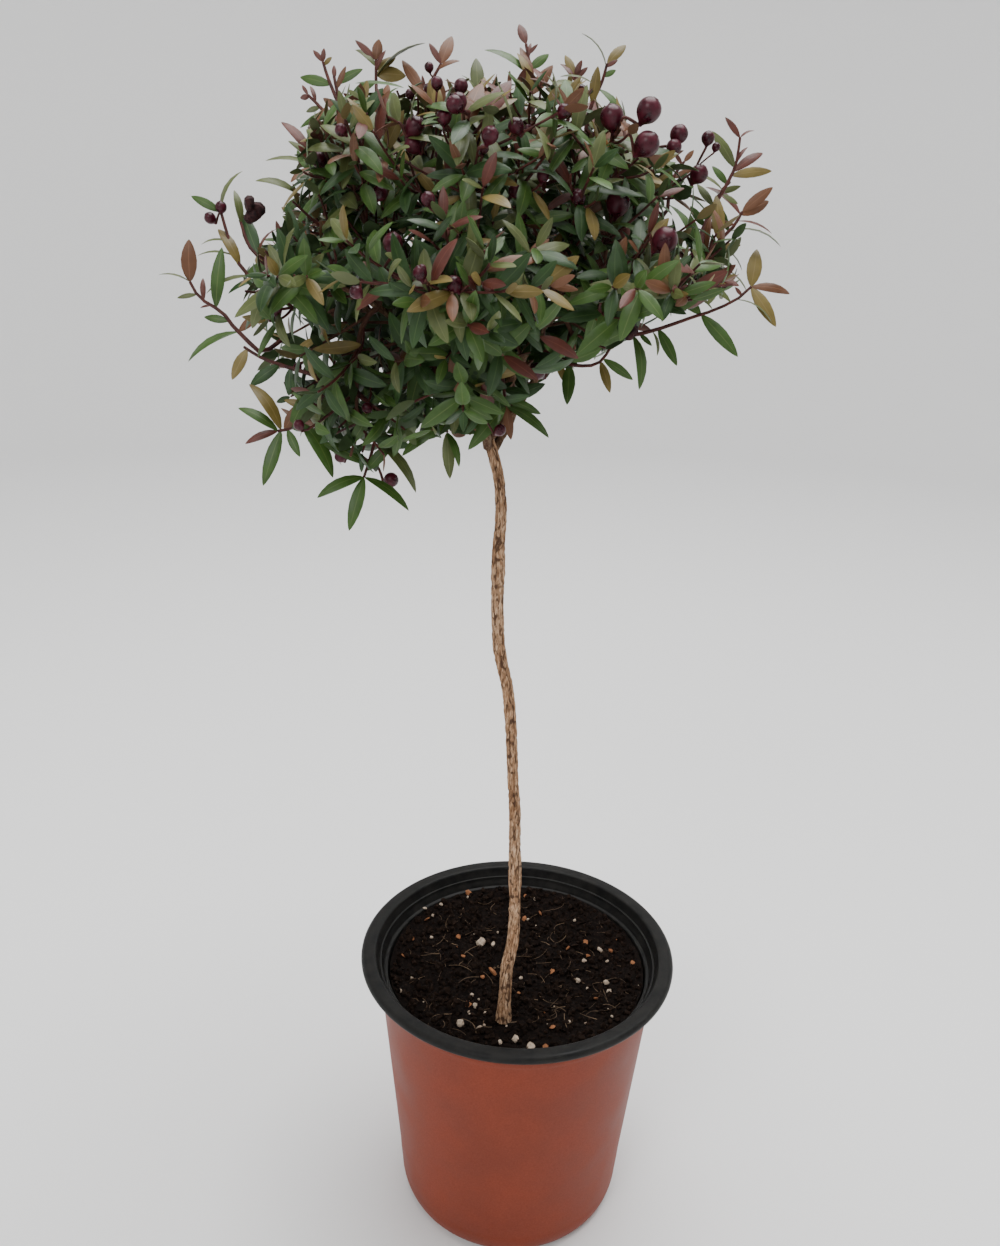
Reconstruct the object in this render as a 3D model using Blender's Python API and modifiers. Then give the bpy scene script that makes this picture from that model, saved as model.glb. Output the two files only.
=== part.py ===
# A myrtle grown as a small standard tree: a bare crooked stem, a loose round head of
# opposite leaves with dark berries, and the plastic nursery pot that it stands in.
# Metres, +Z up. The origin is the centre of the pot's flat underside, and the front is -Y.

import math
import random
from collections import namedtuple

import bmesh
import bpy
import numpy as np
from mathutils import Vector
from mathutils.bvhtree import BVHTree

MM = 0.001
SEAM = 0.3 * MM  # the gap that pieces which touch keep
LIMB_SEAM = 0.4 * MM  # the same where limbs meet, because their cut ends tilt a little
WELD = 0.001 * MM  # how near two points lie to be made one

# Pot: a thin tapered wall, a rounded foot with drainage arches, and a rim of another colour
POT_HEIGHT = 130 * MM
RIM_RADIUS = 70 * MM
LIP_WIDTH = 6.5 * MM
LIP_DEPTH = 4 * MM
WALL_TOP_RADIUS = 62.5 * MM
WALL_TAPER = 0.094  # loss of radius for each unit of depth
WALL_THICKNESS = 1.2 * MM
FLOOR_THICKNESS = 1.6 * MM
FOOT_RADIUS = 45.5 * MM
FOOT_ROUNDING = 12 * MM
COLLAR_THICKNESS = 0.9 * MM
COLLAR_DEPTH = 18 * MM
LEDGE_WIDTH = 1.5 * MM
LEDGE_DROP = 8.5 * MM
ARCHES = 8
ARCH_WIDTH = 15 * MM
ARCH_HEIGHT = 2.8 * MM
ARCH_FIRST = math.radians(-111)
ARCH_REACH = (40 * MM, 60 * MM)
ROUND_STEPS = 36
FOOT_STEPS = 3
LIP_STEPS = 4
ARCH_STEPS = 40

# Compost: level under the stem, a little higher round the wall
SOIL_LEVEL = 118.5 * MM
SOIL_EDGE_RISE = 2 * MM
SOIL_LEVEL_RADIUS = 47 * MM

# Stem: height, then place across and in depth, of the points that it bends through
STEM_STATIONS = (
    (118.8, -4.8, -35.0),
    (143.0, -4.1, -34.1),
    (161.0, -1.7, -33.0),
    (201.0, -2.5, -32.0),
    (242.0, -5.0, -31.1),
    (268.0, -7.2, -30.2),
    (288.0, -11.7, -28.8),
    (320.0, -13.1, -27.1),
    (338.0, -12.4, -26.3),
    (352.0, -13.8, -25.6),
    (365.0, -17.9, -24.4),
    (377.0, -22.4, -23.0),
)
STEM_POINTS = 30
STEM_RADIUS = 2.5 * MM
STEM_TOP_RADIUS = 2.2 * MM
STEM_SIDES = 8
FLARE_RADIUS = 1.1 * MM
FLARE_HEIGHT = 7 * MM
BULGE_RADIUS = 0.35 * MM
BULGE_HEIGHT = 312 * MM
BULGE_LENGTH = 24 * MM

# Crown: a flattened ball, pulled out and pressed in by a few lobes
CROWN_CENTRE = Vector((-24, -22, 420)) * MM
CROWN_HALF_WIDTH = 103 * MM
CROWN_ABOVE = 76 * MM
CROWN_BELOW = 60 * MM
# azimuth and elevation of each lobe, how far it pulls the surface out, and its spread in degrees
LOBES = (
    (200, -56, 34 * MM, 22),
    (180, -8, 7 * MM, 14),
    (0, 2, 4 * MM, 14),
    (180, 28, -14 * MM, 14),
    (0, -40, -17 * MM, 20),
    (0, 43, -9 * MM, 9),
)

# Boughs: one leader and a ring of eight, which leave the stem's head one above another
RING_SIDES = ("left", "front_left", "front", "front_right", "right", "back_right", "back", "back_left")
RING_FIRST = 180
BOUGH_STEP = 1.7 * MM
BOUGH_ROOT_RADIUS = 1.5 * MM
BOUGH_TIP_RADIUS = 1.0 * MM
LEADER_RADIUS = 1.8 * MM
BOUGH_RISE = 42  # degrees above the level at its root, and at its tip
BOUGH_TIP_RISE = 24
BOUGH_REACH = 0.42
BOUGH_TIP_DROP = 7 * MM
LEADER_TIP_RISE = 12 * MM
BOUGH_POINTS = 7
BOUGH_SIDES = 6
BOUGH_ORDER = 3  # each bough leaves the stem this many places lower than its neighbour

# The foliage on each ring bough: a name, the elevation of its room's centre and its depth
# in the crown, the elevation that its stalk grows to, and how the stalk leaves the bough
UP, AHEAD, DOWN = 1, 0, -1
RING_MASSES = (
    ("upper_leaves", 29, 0.76, 36, UP),
    ("outer_leaves", -6, 0.78, 1, AHEAD),
    ("lower_leaves", -36, 0.80, -37, DOWN),
)
# The lower masses hang most on one side, by this many degrees more than the mean
HANGING_SIDE = 215
HANGING_SWING = 10
# The leader's foliage: the same, after an azimuth. Its pair of stalks leaves to two sides
TOP_MASSES = (
    ("top_leaves_back", 90, 60, 0.68, 64, AHEAD),
    ("top_leaves_left", 210, 60, 0.68, 66, UP),
    ("top_leaves_right", 330, 60, 0.68, 64, DOWN),
)
# How many large berries some of the masses carry
BERRIES = {
    "upper_leaves_front_right": 3,
    "upper_leaves_right": 3,
    "upper_leaves_front": 1,
    "top_leaves_right": 1,
    "outer_leaves_front_right": 1,
    "outer_leaves_left": 1,
}

# Stalks, one to a mass, and the side shoots on them
STALK_ROOT_RADIUS = 1.25 * MM
STALK_TIP_RADIUS = 0.85 * MM
STALK_FORK = math.radians(58)
STALK_POINTS = 6
SHOOT_ROOT_RADIUS = 1.0 * MM
SHOOT_TIP_RADIUS = 0.75 * MM
SHOOT_SPACING = 13.0 * MM
FEWEST_SHOOTS = 3.2
SHOOT_LENGTH = 21 * MM
SHOOT_SHARES = (1, 0.8, 0.6)
SHOOT_SPREAD = math.radians(54)
SHOOT_SPREAD_CHANCE = 0.15
SHOOT_POINTS = 3
SHOOT_BEND = 0.45
SHOOT_LIFT = 0.35
QUARTER_TURN = math.pi / 2
TURN_CHANCE = 0.3
SEED = 700

# Leaves: opposite pairs, each leaf a thin arched blade with a keel
LEAF_LENGTH = 25 * MM
LEAF_WIDTH = 7.8 * MM
LEAF_THICKNESS = 0.55 * MM
LEAF_WIDEST = 0.45
LEAF_ARCH = 1.5 * MM
LEAF_STAGGER = 0.35 * MM
LEAF_SIZES = (1, 0.82)
YOUNG_LEAF = 0.8
LEAF_SPREADS = tuple(math.radians(angle) for angle in (52, 38, 24))
LEAF_FACES = ((0, 3, 4), (1, 4, 3), (0, 2, 3), (0, 4, 2), (1, 3, 2), (1, 2, 4))
SHARED_ROOT = 0.3  # the share of a leaf, next to its root, that may touch other pieces
TIP_MARGIN = 0.55  # a stalk stops this share of a leaf short of the crown's outline
BERRY_RADIUS = 3.9 * MM
BERRY_STEP = 0.7
BERRY_STEPS = (7, 5)

# How far foliage keeps from the edge of its room and from the limbs
ROOM_MARGIN = 0.2 * MM
LIMB_MARGIN = 1.4 * MM
SAMPLES = 5

LEAF_COLOUR = (0.055, 0.115, 0.04)
BARK_COLOUR = (0.27, 0.17, 0.09)
PLASTIC_COLOUR = (0.42, 0.13, 0.07)
RIM_COLOUR = (0.02, 0.021, 0.024)
SOIL_COLOUR = (0.022, 0.015, 0.011)

UPRIGHT = Vector((0, 0, 1))

Bough = namedtuple("Bough", "name side path radii")
Mass = namedtuple("Mass", "name centre stalk")


def start_scene():
    """Empties the scene and returns the collections for the parts and for the cutters."""
    for old in list(bpy.data.objects):
        bpy.data.objects.remove(old, do_unlink=True)
    made = []
    for name in ("potted_myrtle_topiary", "cutters"):
        collection = bpy.data.collections.new(name)
        bpy.context.scene.collection.children.link(collection)
        made.append(collection)
    return made


def finish(obj, colour, roughness):
    """Gives an object a material of its own."""
    material = bpy.data.materials.new(obj.name)
    material.use_nodes = True
    shader = material.node_tree.nodes["Principled BSDF"]
    shader.inputs["Base Color"].default_value = (*colour, 1)
    shader.inputs["Roughness"].default_value = roughness
    shader.inputs["Metallic"].default_value = 0
    obj.data.materials.clear()
    obj.data.materials.append(material)
    return obj


def arc(centre, radii, start, end, count):
    """Points (r, z) on an ellipse's arc, from one angle in degrees to another."""
    angles = (math.radians(start + (end - start) * k / count) for k in range(count + 1))
    return [(centre[0] + radii[0] * math.cos(a), centre[1] + radii[1] * math.sin(a)) for a in angles]


def turned(name, profile, closed, collection):
    """A solid of revolution from a profile of (r, z) that runs down its outer side."""
    mesh = bpy.data.meshes.new(name)
    count = len(profile)
    edges = [(k, k + 1) for k in range(count - 1)]
    if closed:
        edges.append((count - 1, 0))
    mesh.from_pydata([(r, 0, z) for r, z in profile], edges, [])
    obj = bpy.data.objects.new(name, mesh)
    collection.objects.link(obj)
    screw = obj.modifiers.new("turn", "SCREW")
    screw.steps = ROUND_STEPS
    screw.render_steps = ROUND_STEPS
    screw.use_merge_vertices = True
    screw.merge_threshold = WELD
    return obj


def wall_radius(height):
    """Outer radius of the pot's wall at a height."""
    return WALL_TOP_RADIUS - (POT_HEIGHT - LIP_DEPTH - height) * WALL_TAPER


def make_pot_wall(collection, cutters):
    top = POT_HEIGHT - LIP_DEPTH - SEAM
    corner = wall_radius(FOOT_ROUNDING) - FOOT_RADIUS
    outer_foot = arc((FOOT_RADIUS, FOOT_ROUNDING), (corner, FOOT_ROUNDING), 0, -90, FOOT_STEPS)
    inner_foot = arc(
        (FOOT_RADIUS, FOOT_ROUNDING),
        (corner - WALL_THICKNESS, FOOT_ROUNDING - FLOOR_THICKNESS),
        -90,
        0,
        FOOT_STEPS,
    )
    profile = [(0, FLOOR_THICKNESS)]
    profile += inner_foot
    profile += [(wall_radius(top) - WALL_THICKNESS, top), (wall_radius(top), top)]
    profile += outer_foot
    profile += [(0, 0)]
    wall = turned("pot_wall", profile, False, collection)

    radius = (ARCH_WIDTH**2 / 4 + ARCH_HEIGHT**2) / (2 * ARCH_HEIGHT)
    middle = sum(ARCH_REACH) / 2
    for k in range(ARCHES):
        turn = ARCH_FIRST + k * math.tau / ARCHES
        bpy.ops.mesh.primitive_cylinder_add(
            vertices=ARCH_STEPS,
            radius=radius,
            depth=ARCH_REACH[1] - ARCH_REACH[0],
            location=(middle * math.cos(turn), middle * math.sin(turn), ARCH_HEIGHT - radius),
            rotation=(0, math.pi / 2, turn),
        )
        cutter = bpy.context.object
        cutter.name = f"arch_cutter_{k + 1}"
        for owner in list(cutter.users_collection):
            owner.objects.unlink(cutter)
        cutters.objects.link(cutter)
        cutter.hide_render = True
        cutter.display_type = "WIRE"
        cut = wall.modifiers.new(f"arch_{k + 1}", "BOOLEAN")
        cut.operation = "DIFFERENCE"
        cut.object = cutter
    return finish(wall, PLASTIC_COLOUR, 0.42)


def make_pot_rim(collection):
    """The black rolled lip, with the collar and the ledge inside it."""
    top, under = POT_HEIGHT, POT_HEIGHT - LIP_DEPTH
    inner_edge = RIM_RADIUS - LIP_WIDTH
    half = LIP_DEPTH / 2
    profile = arc((RIM_RADIUS - half, top - half), (half, half), 90, -60, LIP_STEPS)
    profile += [(RIM_RADIUS - half, under)]
    skin = WALL_THICKNESS + SEAM
    ledge = top - LEDGE_DROP
    foot = top - COLLAR_DEPTH
    profile += [(wall_radius(under) - skin, under), (wall_radius(foot) - skin, foot)]
    collar = wall_radius(ledge) - skin - COLLAR_THICKNESS
    profile += [
        (wall_radius(foot) - skin - COLLAR_THICKNESS - LEDGE_WIDTH, foot),
        (collar - LEDGE_WIDTH, ledge),
        (collar, ledge),
    ]
    profile += [(inner_edge - half, top - half), (inner_edge, top - half / 4)]
    profile += [(inner_edge + half, top)]
    rim = turned("pot_rim", profile, True, collection)
    return finish(rim, RIM_COLOUR, 0.35)


def make_soil(collection):
    """The compost that fills the pot, a seam clear of the wall and of the collar."""
    skin = WALL_THICKNESS + SEAM
    foot = POT_HEIGHT - COLLAR_DEPTH
    collar_inside = wall_radius(foot) - skin - COLLAR_THICKNESS - LEDGE_WIDTH - SEAM
    corner = wall_radius(FOOT_ROUNDING) - FOOT_RADIUS - skin
    shoulder = foot - SEAM
    profile = [(0, SOIL_LEVEL), (SOIL_LEVEL_RADIUS, SOIL_LEVEL)]
    profile += [(collar_inside, SOIL_LEVEL + SOIL_EDGE_RISE), (collar_inside, shoulder)]
    profile += [(wall_radius(shoulder) - skin, shoulder)]
    profile += arc(
        (FOOT_RADIUS, FOOT_ROUNDING),
        (corner, FOOT_ROUNDING - FLOOR_THICKNESS - SEAM),
        0,
        -90,
        FOOT_STEPS,
    )
    profile += [(0, FLOOR_THICKNESS + SEAM)]
    return finish(turned("soil", profile, False, collection), SOIL_COLOUR, 0.95)


def smooth_path(stations, count):
    """Evenly dealt points on a Catmull-Rom curve through the stations."""
    ends = [2 * stations[0] - stations[1], *stations, 2 * stations[-1] - stations[-2]]
    path = []
    for k in range(count):
        place = k / (count - 1) * (len(stations) - 1)
        leg = min(int(place), len(stations) - 2)
        t = place - leg
        a, b, c, d = ends[leg : leg + 4]
        bend = 2 * b + (c - a) * t + (2 * a - 5 * b + 4 * c - d) * t**2
        path.append((bend + (3 * b - a - 3 * c + d) * t**3) / 2)
    return path


def tube(name, path, radii, sides, collection):
    """A limb as a curve with a round section and flat capped ends."""
    curve = bpy.data.curves.new(name, "CURVE")
    curve.dimensions = "3D"
    curve.use_fill_caps = True
    curve.bevel_depth = 1
    curve.bevel_resolution = sides // 2 - 2
    spline = curve.splines.new("POLY")
    spline.points.add(len(path) - 1)
    for point, place, radius in zip(spline.points, path, radii):
        point.co = (*place, 1)
        point.radius = radius
    obj = bpy.data.objects.new(name, curve)
    collection.objects.link(obj)
    return obj


def stem_path():
    """The stem's line. Its first leg stands upright, so that the cut at its foot is level."""
    stations = [Vector((x, y, z)) * MM for z, x, y in STEM_STATIONS]
    path = smooth_path(stations, STEM_POINTS)
    path[0].xy = path[1].xy
    return path


def stem_radius(height):
    """The stem's taper, the flare at its foot and the swelling above its middle."""
    foot, top = STEM_STATIONS[0][0] * MM, STEM_STATIONS[-1][0] * MM
    up = (height - foot) / (top - foot)
    plain = STEM_RADIUS + (STEM_TOP_RADIUS - STEM_RADIUS) * up
    flare = FLARE_RADIUS * math.exp(-(height - foot) / FLARE_HEIGHT)
    bulge = BULGE_RADIUS * math.exp(-(((height - BULGE_HEIGHT) / BULGE_LENGTH) ** 2))
    return plain + flare + bulge


def heading(azimuth, elevation):
    """Unit vector for angles in degrees: azimuth 0 is +X, and 90 is +Y."""
    a, e = math.radians(azimuth), math.radians(elevation)
    return Vector((math.cos(a) * math.cos(e), math.sin(a) * math.cos(e), math.sin(e)))


def crown_reach(way):
    """How far the crown's outline lies from its centre along a unit vector."""
    across = math.hypot(way.x, way.y) / CROWN_HALF_WIDTH
    along = way.z / (CROWN_ABOVE if way.z > 0 else CROWN_BELOW)
    reach = 1 / math.hypot(across, along)
    for azimuth, elevation, pull, spread in LOBES:
        apart = way.angle(heading(azimuth, elevation))
        reach += pull * math.exp(-((apart / math.radians(spread)) ** 2))
    return reach


def bezier(start, start_way, end, end_way, count):
    """Points on a cubic curve that leaves one place and reaches another in the given directions."""
    handle = (end - start).length / 3
    pull_out, pull_in = start + start_way * handle, end - end_way * handle
    points = []
    for k in range(count):
        t = k / (count - 1)
        s = 1 - t
        points.append(start * s**3 + 3 * pull_out * s * s * t + 3 * pull_in * s * t * t + end * t**3)
    return points


def tapered(start, end, count):
    return [start + (end - start) * k / (count - 1) for k in range(count)]


def between(start, end, count):
    return [start.lerp(end, k / (count - 1)) for k in range(count)]


def plan_leader(stem):
    """The bough that carries on from the stem's tip, upright at its end."""
    rise = (stem[-1] - stem[-2]).normalized()
    tip = CROWN_CENTRE + UPRIGHT * LEADER_TIP_RISE
    path = bezier(stem[-1] + rise * LIMB_SEAM, rise, tip, UPRIGHT, BOUGH_POINTS)
    return Bough("bough_leader", "top", path, tapered(LEADER_RADIUS, BOUGH_TIP_RADIUS, BOUGH_POINTS))


def place_on(stem, height):
    """The point on the stem's line at a height, and the line's direction there."""
    below, above = next(pair for pair in zip(stem, stem[1:]) if pair[1].z >= height)
    return below.lerp(above, (height - below.z) / (above.z - below.z)), (above - below).normalized()


def plan_ring_bough(stem, number):
    """A bough that leaves the stem's side, a seam clear of it, and flattens outwards."""
    side = RING_SIDES[number]
    azimuth = RING_FIRST + number * 360 / len(RING_SIDES)
    outward = heading(azimuth, 0)
    place = BOUGH_ORDER * number % len(RING_SIDES)
    height = stem[-1].z - STEM_TOP_RADIUS - place * BOUGH_STEP
    rise = math.radians(BOUGH_RISE)
    axis, lean = place_on(stem, height + BOUGH_ROOT_RADIUS * math.cos(rise))
    clear = stem_radius(height) / lean.z + BOUGH_ROOT_RADIUS * math.sin(rise) + LIMB_SEAM
    root = Vector((axis.x, axis.y, height)) + outward * clear
    tip = CROWN_CENTRE + outward * crown_reach(outward) * BOUGH_REACH - UPRIGHT * BOUGH_TIP_DROP
    start_way, end_way = heading(azimuth, BOUGH_RISE), heading(azimuth, BOUGH_TIP_RISE)
    path = bezier(root, start_way, tip, end_way, BOUGH_POINTS)
    radii = tapered(BOUGH_ROOT_RADIUS, BOUGH_TIP_RADIUS, BOUGH_POINTS)
    return Bough(f"bough_{side}", side, path, radii)


def plan_boughs(stem):
    return [plan_leader(stem)] + [plan_ring_bough(stem, k) for k in range(len(RING_SIDES))]


def plan_mass(bough, across, name, azimuth, room_rise, depth, stalk_rise, leave):
    """One mass of foliage: the centre of its room, and the stalk that leads to the crown's
    edge from the bough's tip, straight on or, a seam clear, from one side of it."""
    tip = bough.path[-1]
    ahead = (tip - bough.path[-2]).normalized()
    across = (across - ahead * across.dot(ahead)).normalized() * leave
    room_way, stalk_way = heading(azimuth, room_rise), heading(azimuth, stalk_rise)
    centre = CROWN_CENTRE + room_way * crown_reach(room_way) * depth
    end = CROWN_CENTRE + stalk_way * (crown_reach(stalk_way) - LEAF_LENGTH * TIP_MARGIN)
    if leave == AHEAD:
        start, start_way = tip + ahead * LIMB_SEAM, ahead
    else:
        start_way = ahead * math.cos(STALK_FORK) + across * math.sin(STALK_FORK)
        # A three-sided stalk turns a corner to a bough below it, and a flat to one above
        slant = STALK_ROOT_RADIUS * math.cos(STALK_FORK) / (1 if leave == UP else 2)
        clear = bough.radii[-1] + slant + LIMB_SEAM
        start = tip - ahead * STALK_ROOT_RADIUS * 2 + across * clear
    return Mass(name, centre, bezier(start, start_way, end, stalk_way, STALK_POINTS))


def plan_masses(boughs):
    """Three masses on every bough."""
    leader, *ring = boughs
    sideways = Vector((-1, 0, 0))
    masses = [plan_mass(leader, sideways, *row) for row in TOP_MASSES]
    for number, bough in enumerate(ring):
        azimuth = RING_FIRST + number * 360 / len(ring)
        swing = HANGING_SWING * math.cos(math.radians(azimuth - HANGING_SIDE))
        for kind, room_rise, depth, stalk_rise, leave in RING_MASSES:
            sag = swing if leave == DOWN else 0
            name = f"{kind}_{bough.side}"
            row = (name, azimuth, room_rise - sag, depth, stalk_rise - sag, leave)
            masses.append(plan_mass(bough, UPRIGHT, *row))
    return masses


def joints(path):
    """Places and directions of a stalk's joints, at even steps from its end towards its root."""
    legs = [(b - a).length for a, b in zip(path, path[1:])]
    total = sum(legs)
    spacing = min(SHOOT_SPACING, total / FEWEST_SHOOTS)
    found = []
    for step in range(1, round(total / spacing)):
        left = total - step * spacing
        leg = 0
        while left > legs[leg]:
            left -= legs[leg]
            leg += 1
        way = (path[leg + 1] - path[leg]).normalized()
        found.append((path[leg] + way * left, way))
    return found


def side_way(way, turn):
    """A unit vector across a direction, turned about it from the level."""
    level = Vector((way.y, -way.x, 0)) if abs(way.z) < 1 else Vector((1, 0, 0))
    level.normalize()
    up = level.cross(way).normalized()
    return level * math.cos(turn) + up * math.sin(turn)


def leaf_corners(root, along, face, size):
    """A leaf's five corners: root, tip, the keel under the blade, and the two edges."""
    length, half_width = LEAF_LENGTH * size, LEAF_WIDTH * size / 2
    edge = face.cross(along).normalized()
    middle = root + along * length * LEAF_WIDEST + face * LEAF_ARCH * size
    return [
        root,
        root + along * length,
        middle - face * LEAF_THICKNESS,
        middle + edge * half_width,
        middle - edge * half_width,
    ]


def object_of(name, bm):
    """An object with this mesh, not yet in any collection."""
    mesh = bpy.data.meshes.new(name)
    bm.to_mesh(mesh)
    bm.free()
    return bpy.data.objects.new(name, mesh)


def make_leaf(corners):
    """A leaf with six faces: a three-sided ball of five points, drawn out to its corners."""
    root, tip, keel, first_edge, second_edge = corners
    bm = bmesh.new()
    bmesh.ops.create_uvsphere(bm, u_segments=3, v_segments=2, radius=1)
    for vertex in bm.verts:
        x, y, z = (round(value) for value in vertex.co)
        if z:
            vertex.co = tip if z > 0 else root
        elif y:
            vertex.co = first_edge if y > 0 else second_edge
        else:
            vertex.co = keel
    bmesh.ops.recalc_face_normals(bm, faces=bm.faces)
    return object_of("leaf", bm)


def make_berry(centre):
    bm = bmesh.new()
    around, up = BERRY_STEPS
    bmesh.ops.create_uvsphere(bm, u_segments=around, v_segments=up, radius=BERRY_RADIUS)
    bmesh.ops.translate(bm, verts=bm.verts, vec=centre)
    return object_of("berry", bm)


class Room:
    """The room that one mass may fill: nearer to its own centre than to any other's,
    inside the crown's outline, and clear of every limb but its own stalk."""

    def __init__(self, number, centres, limbs):
        own = centres[number]
        others = np.delete(centres, number, axis=0)
        apart = others - own
        self.ways = apart / np.linalg.norm(apart, axis=1)[:, None]
        self.limits = ((others + own) / 2 * self.ways).sum(axis=1) - ROOM_MARGIN
        self.starts = np.concatenate([np.array(path[:-1]) for path, radii in limbs])
        self.legs = np.concatenate([np.diff(np.array(path), axis=0) for path, radii in limbs])
        self.radii = np.concatenate([np.array(radii[:-1]) for path, radii in limbs])
        self.taken = []

    def holds(self, points, spread=0):
        """True if every point, with this much round it, lies inside the room."""
        if (np.array(points) @ self.ways.T + spread > self.limits).any():
            return False
        offsets = [point - CROWN_CENTRE for point in points]
        return all(offset.length + spread <= crown_reach(offset.normalized()) for offset in offsets)

    def is_clear(self, points, spread=0):
        """True if no point comes near a limb."""
        offset = np.array(points)[:, None] - self.starts[None]
        run = (offset * self.legs).sum(axis=2) / (self.legs**2).sum(axis=1)
        nearest = self.legs * np.clip(run, 0, 1)[..., None]
        apart = np.linalg.norm(offset - nearest, axis=2) - self.radii
        return bool((apart > LIMB_MARGIN + spread).all())

    def take_leaf(self, corners):
        """Takes the room for a leaf, unless its outer part would cross what already grows."""
        inner = corners[0].lerp((corners[3] + corners[4]) / 2, SHARED_ROOT)
        outer = BVHTree.FromPolygons([inner, *corners[1:]], LEAF_FACES)
        if any(outer.overlap(other) for other in self.taken):
            return False
        self.taken.append(BVHTree.FromPolygons(corners, LEAF_FACES))
        return True

    def take_twig(self, path):
        """Takes the room along a twig, as a strip as wide as the twig."""
        sides = (-SHOOT_TIP_RADIUS, SHOOT_TIP_RADIUS)
        strip = [point + UPRIGHT * rise for point in path for rise in sides]
        faces = [(2 * k, 2 * k + 1, 2 * k + 3, 2 * k + 2) for k in range(len(path) - 1)]
        self.taken.append(BVHTree.FromPolygons(strip, faces))


def place_leaf(room, root, along, side, size):
    """Corners of a leaf that fits the room, the widest spread first, or None."""
    for spread in LEAF_SPREADS:
        way = along * math.cos(spread) + side * math.sin(spread)
        face = (along - way * along.dot(way)).normalized()
        corners = leaf_corners(root, way, face, size)
        lines = []
        for middle in corners[2:]:
            lines += between(corners[0], middle, SAMPLES) + between(middle, corners[1], SAMPLES)
        if room.holds(corners) and room.is_clear(lines) and room.take_leaf(corners):
            return corners
    return None


def leaf_pair(room, place, way, turn, size):
    """Two leaves that stand opposite each other, one a little ahead, each full or smaller."""
    side = side_way(way, turn)
    pair = []
    for sign in (1, -1):
        root = place + way * LEAF_STAGGER * sign
        tries = (place_leaf(room, root, way, side * sign, size * share) for share in LEAF_SIZES)
        pair += [corners for corners in [next(filter(None, tries), None)] if corners]
    return pair


def grow_shoot(room, root, way):
    """A side shoot that bends outwards and to the light, or a shorter one, or None."""
    aim = ((root - CROWN_CENTRE).normalized() + UPRIGHT * SHOOT_LIFT).normalized()
    for share in SHOOT_SHARES:
        path = [root]
        for k in range(1, SHOOT_POINTS):
            ahead = way.lerp(aim, SHOOT_BEND * k / SHOOT_POINTS).normalized()
            path.append(path[-1] + ahead * SHOOT_LENGTH * share / (SHOOT_POINTS - 1))
        line = [point for a, b in zip(path, path[1:]) for point in between(a, b, SAMPLES)]
        if room.holds(path, SHOOT_ROOT_RADIUS) and room.is_clear(line, SHOOT_ROOT_RADIUS):
            return path
    return None


def grow_tip(room, path, turn):
    """The leaves at the end of a stalk or a shoot: a young pair, and a full pair below it."""
    way = (path[-1] - path[-2]).normalized()
    leaves = leaf_pair(room, path[-1] - way * SHOOT_TIP_RADIUS, way, turn, YOUNG_LEAF)
    below = path[-1].lerp(path[-2], min(1, SHOOT_LENGTH / 2 / (path[-1] - path[-2]).length))
    return leaves + leaf_pair(room, below, way, turn + QUARTER_TURN, 1)


def grow_mass(room, stalk, berries, chance):
    """Everything that grows on one stalk: side shoots in opposite pairs, each pair a quarter
    turn from the last, leaves in pairs on every shoot, and berries at some of the tips."""
    twigs = [(stalk, tapered(STALK_ROOT_RADIUS, STALK_TIP_RADIUS, len(stalk)))]
    turn = chance.uniform(0, math.pi)
    leaves = grow_tip(room, stalk, turn)
    fruit = []
    for place, way in joints(stalk):
        turn += QUARTER_TURN + chance.uniform(-TURN_CHANCE, TURN_CHANCE)
        for sign in (1, -1):
            side = side_way(way, turn) * sign
            spread = SHOOT_SPREAD + chance.uniform(-SHOOT_SPREAD_CHANCE, SHOOT_SPREAD_CHANCE)
            path = grow_shoot(room, place, way * math.cos(spread) + side * math.sin(spread))
            roll = chance.uniform(0, math.pi)
            if path is None:
                leaf = place_leaf(room, place, way, side, 1)
                leaves += [leaf] if leaf else []
                continue
            room.take_twig(path)
            twigs.append((path, tapered(SHOOT_ROOT_RADIUS, SHOOT_TIP_RADIUS, SHOOT_POINTS)))
            leaves += grow_tip(room, path, roll)
            berry = path[-1] + (path[-1] - path[-2]).normalized() * BERRY_RADIUS * BERRY_STEP
            fits = room.holds([berry], BERRY_RADIUS) and room.is_clear([berry], BERRY_RADIUS)
            if len(fruit) < berries and fits:
                fruit.append(berry)
    return twigs, leaves, fruit


def triangle_section():
    """The closed three-cornered outline that twigs are drawn with."""
    curve = bpy.data.curves.new("twig_section", "CURVE")
    curve.dimensions = "2D"
    spline = curve.splines.new("POLY")
    spline.points.add(2)
    for k, point in enumerate(spline.points):
        angle = k * math.tau / 3
        point.co = (math.cos(angle), math.sin(angle), 0, 1)
    spline.use_cyclic_u = True
    return bpy.data.objects.new("twig_section", curve)


def make_twigs(twigs, section):
    """Three-sided tapering twigs: curves that carry a triangle along, made into closed meshes."""
    curves = []
    for path, radii in twigs:
        obj = tube("twig", path, radii, 4, bpy.context.scene.collection)
        obj.data.bevel_mode = "OBJECT"
        obj.data.bevel_object = section
        curves.append(obj)
    graph = bpy.context.evaluated_depsgraph_get()
    made = []
    for obj in curves:
        mesh = bpy.data.meshes.new_from_object(obj.evaluated_get(graph))
        bm = bmesh.new()
        bm.from_mesh(mesh)
        bmesh.ops.remove_doubles(bm, verts=bm.verts, dist=WELD)
        bmesh.ops.recalc_face_normals(bm, faces=bm.faces)
        made.append(object_of("twig", bm))
    for obj in curves:
        bpy.data.objects.remove(obj, do_unlink=True)
    return made


def shells_of(bm):
    """The faces of a mesh, sorted into connected shells."""
    left = set(bm.faces)
    shells = []
    while left:
        first = left.pop()
        shell, edge = {first}, [first]
        while edge:
            near = {face for side in edge.pop().edges for face in side.link_faces} & left
            left -= near
            shell |= near
            edge += near
        shells.append(shell)
    return shells


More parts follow.
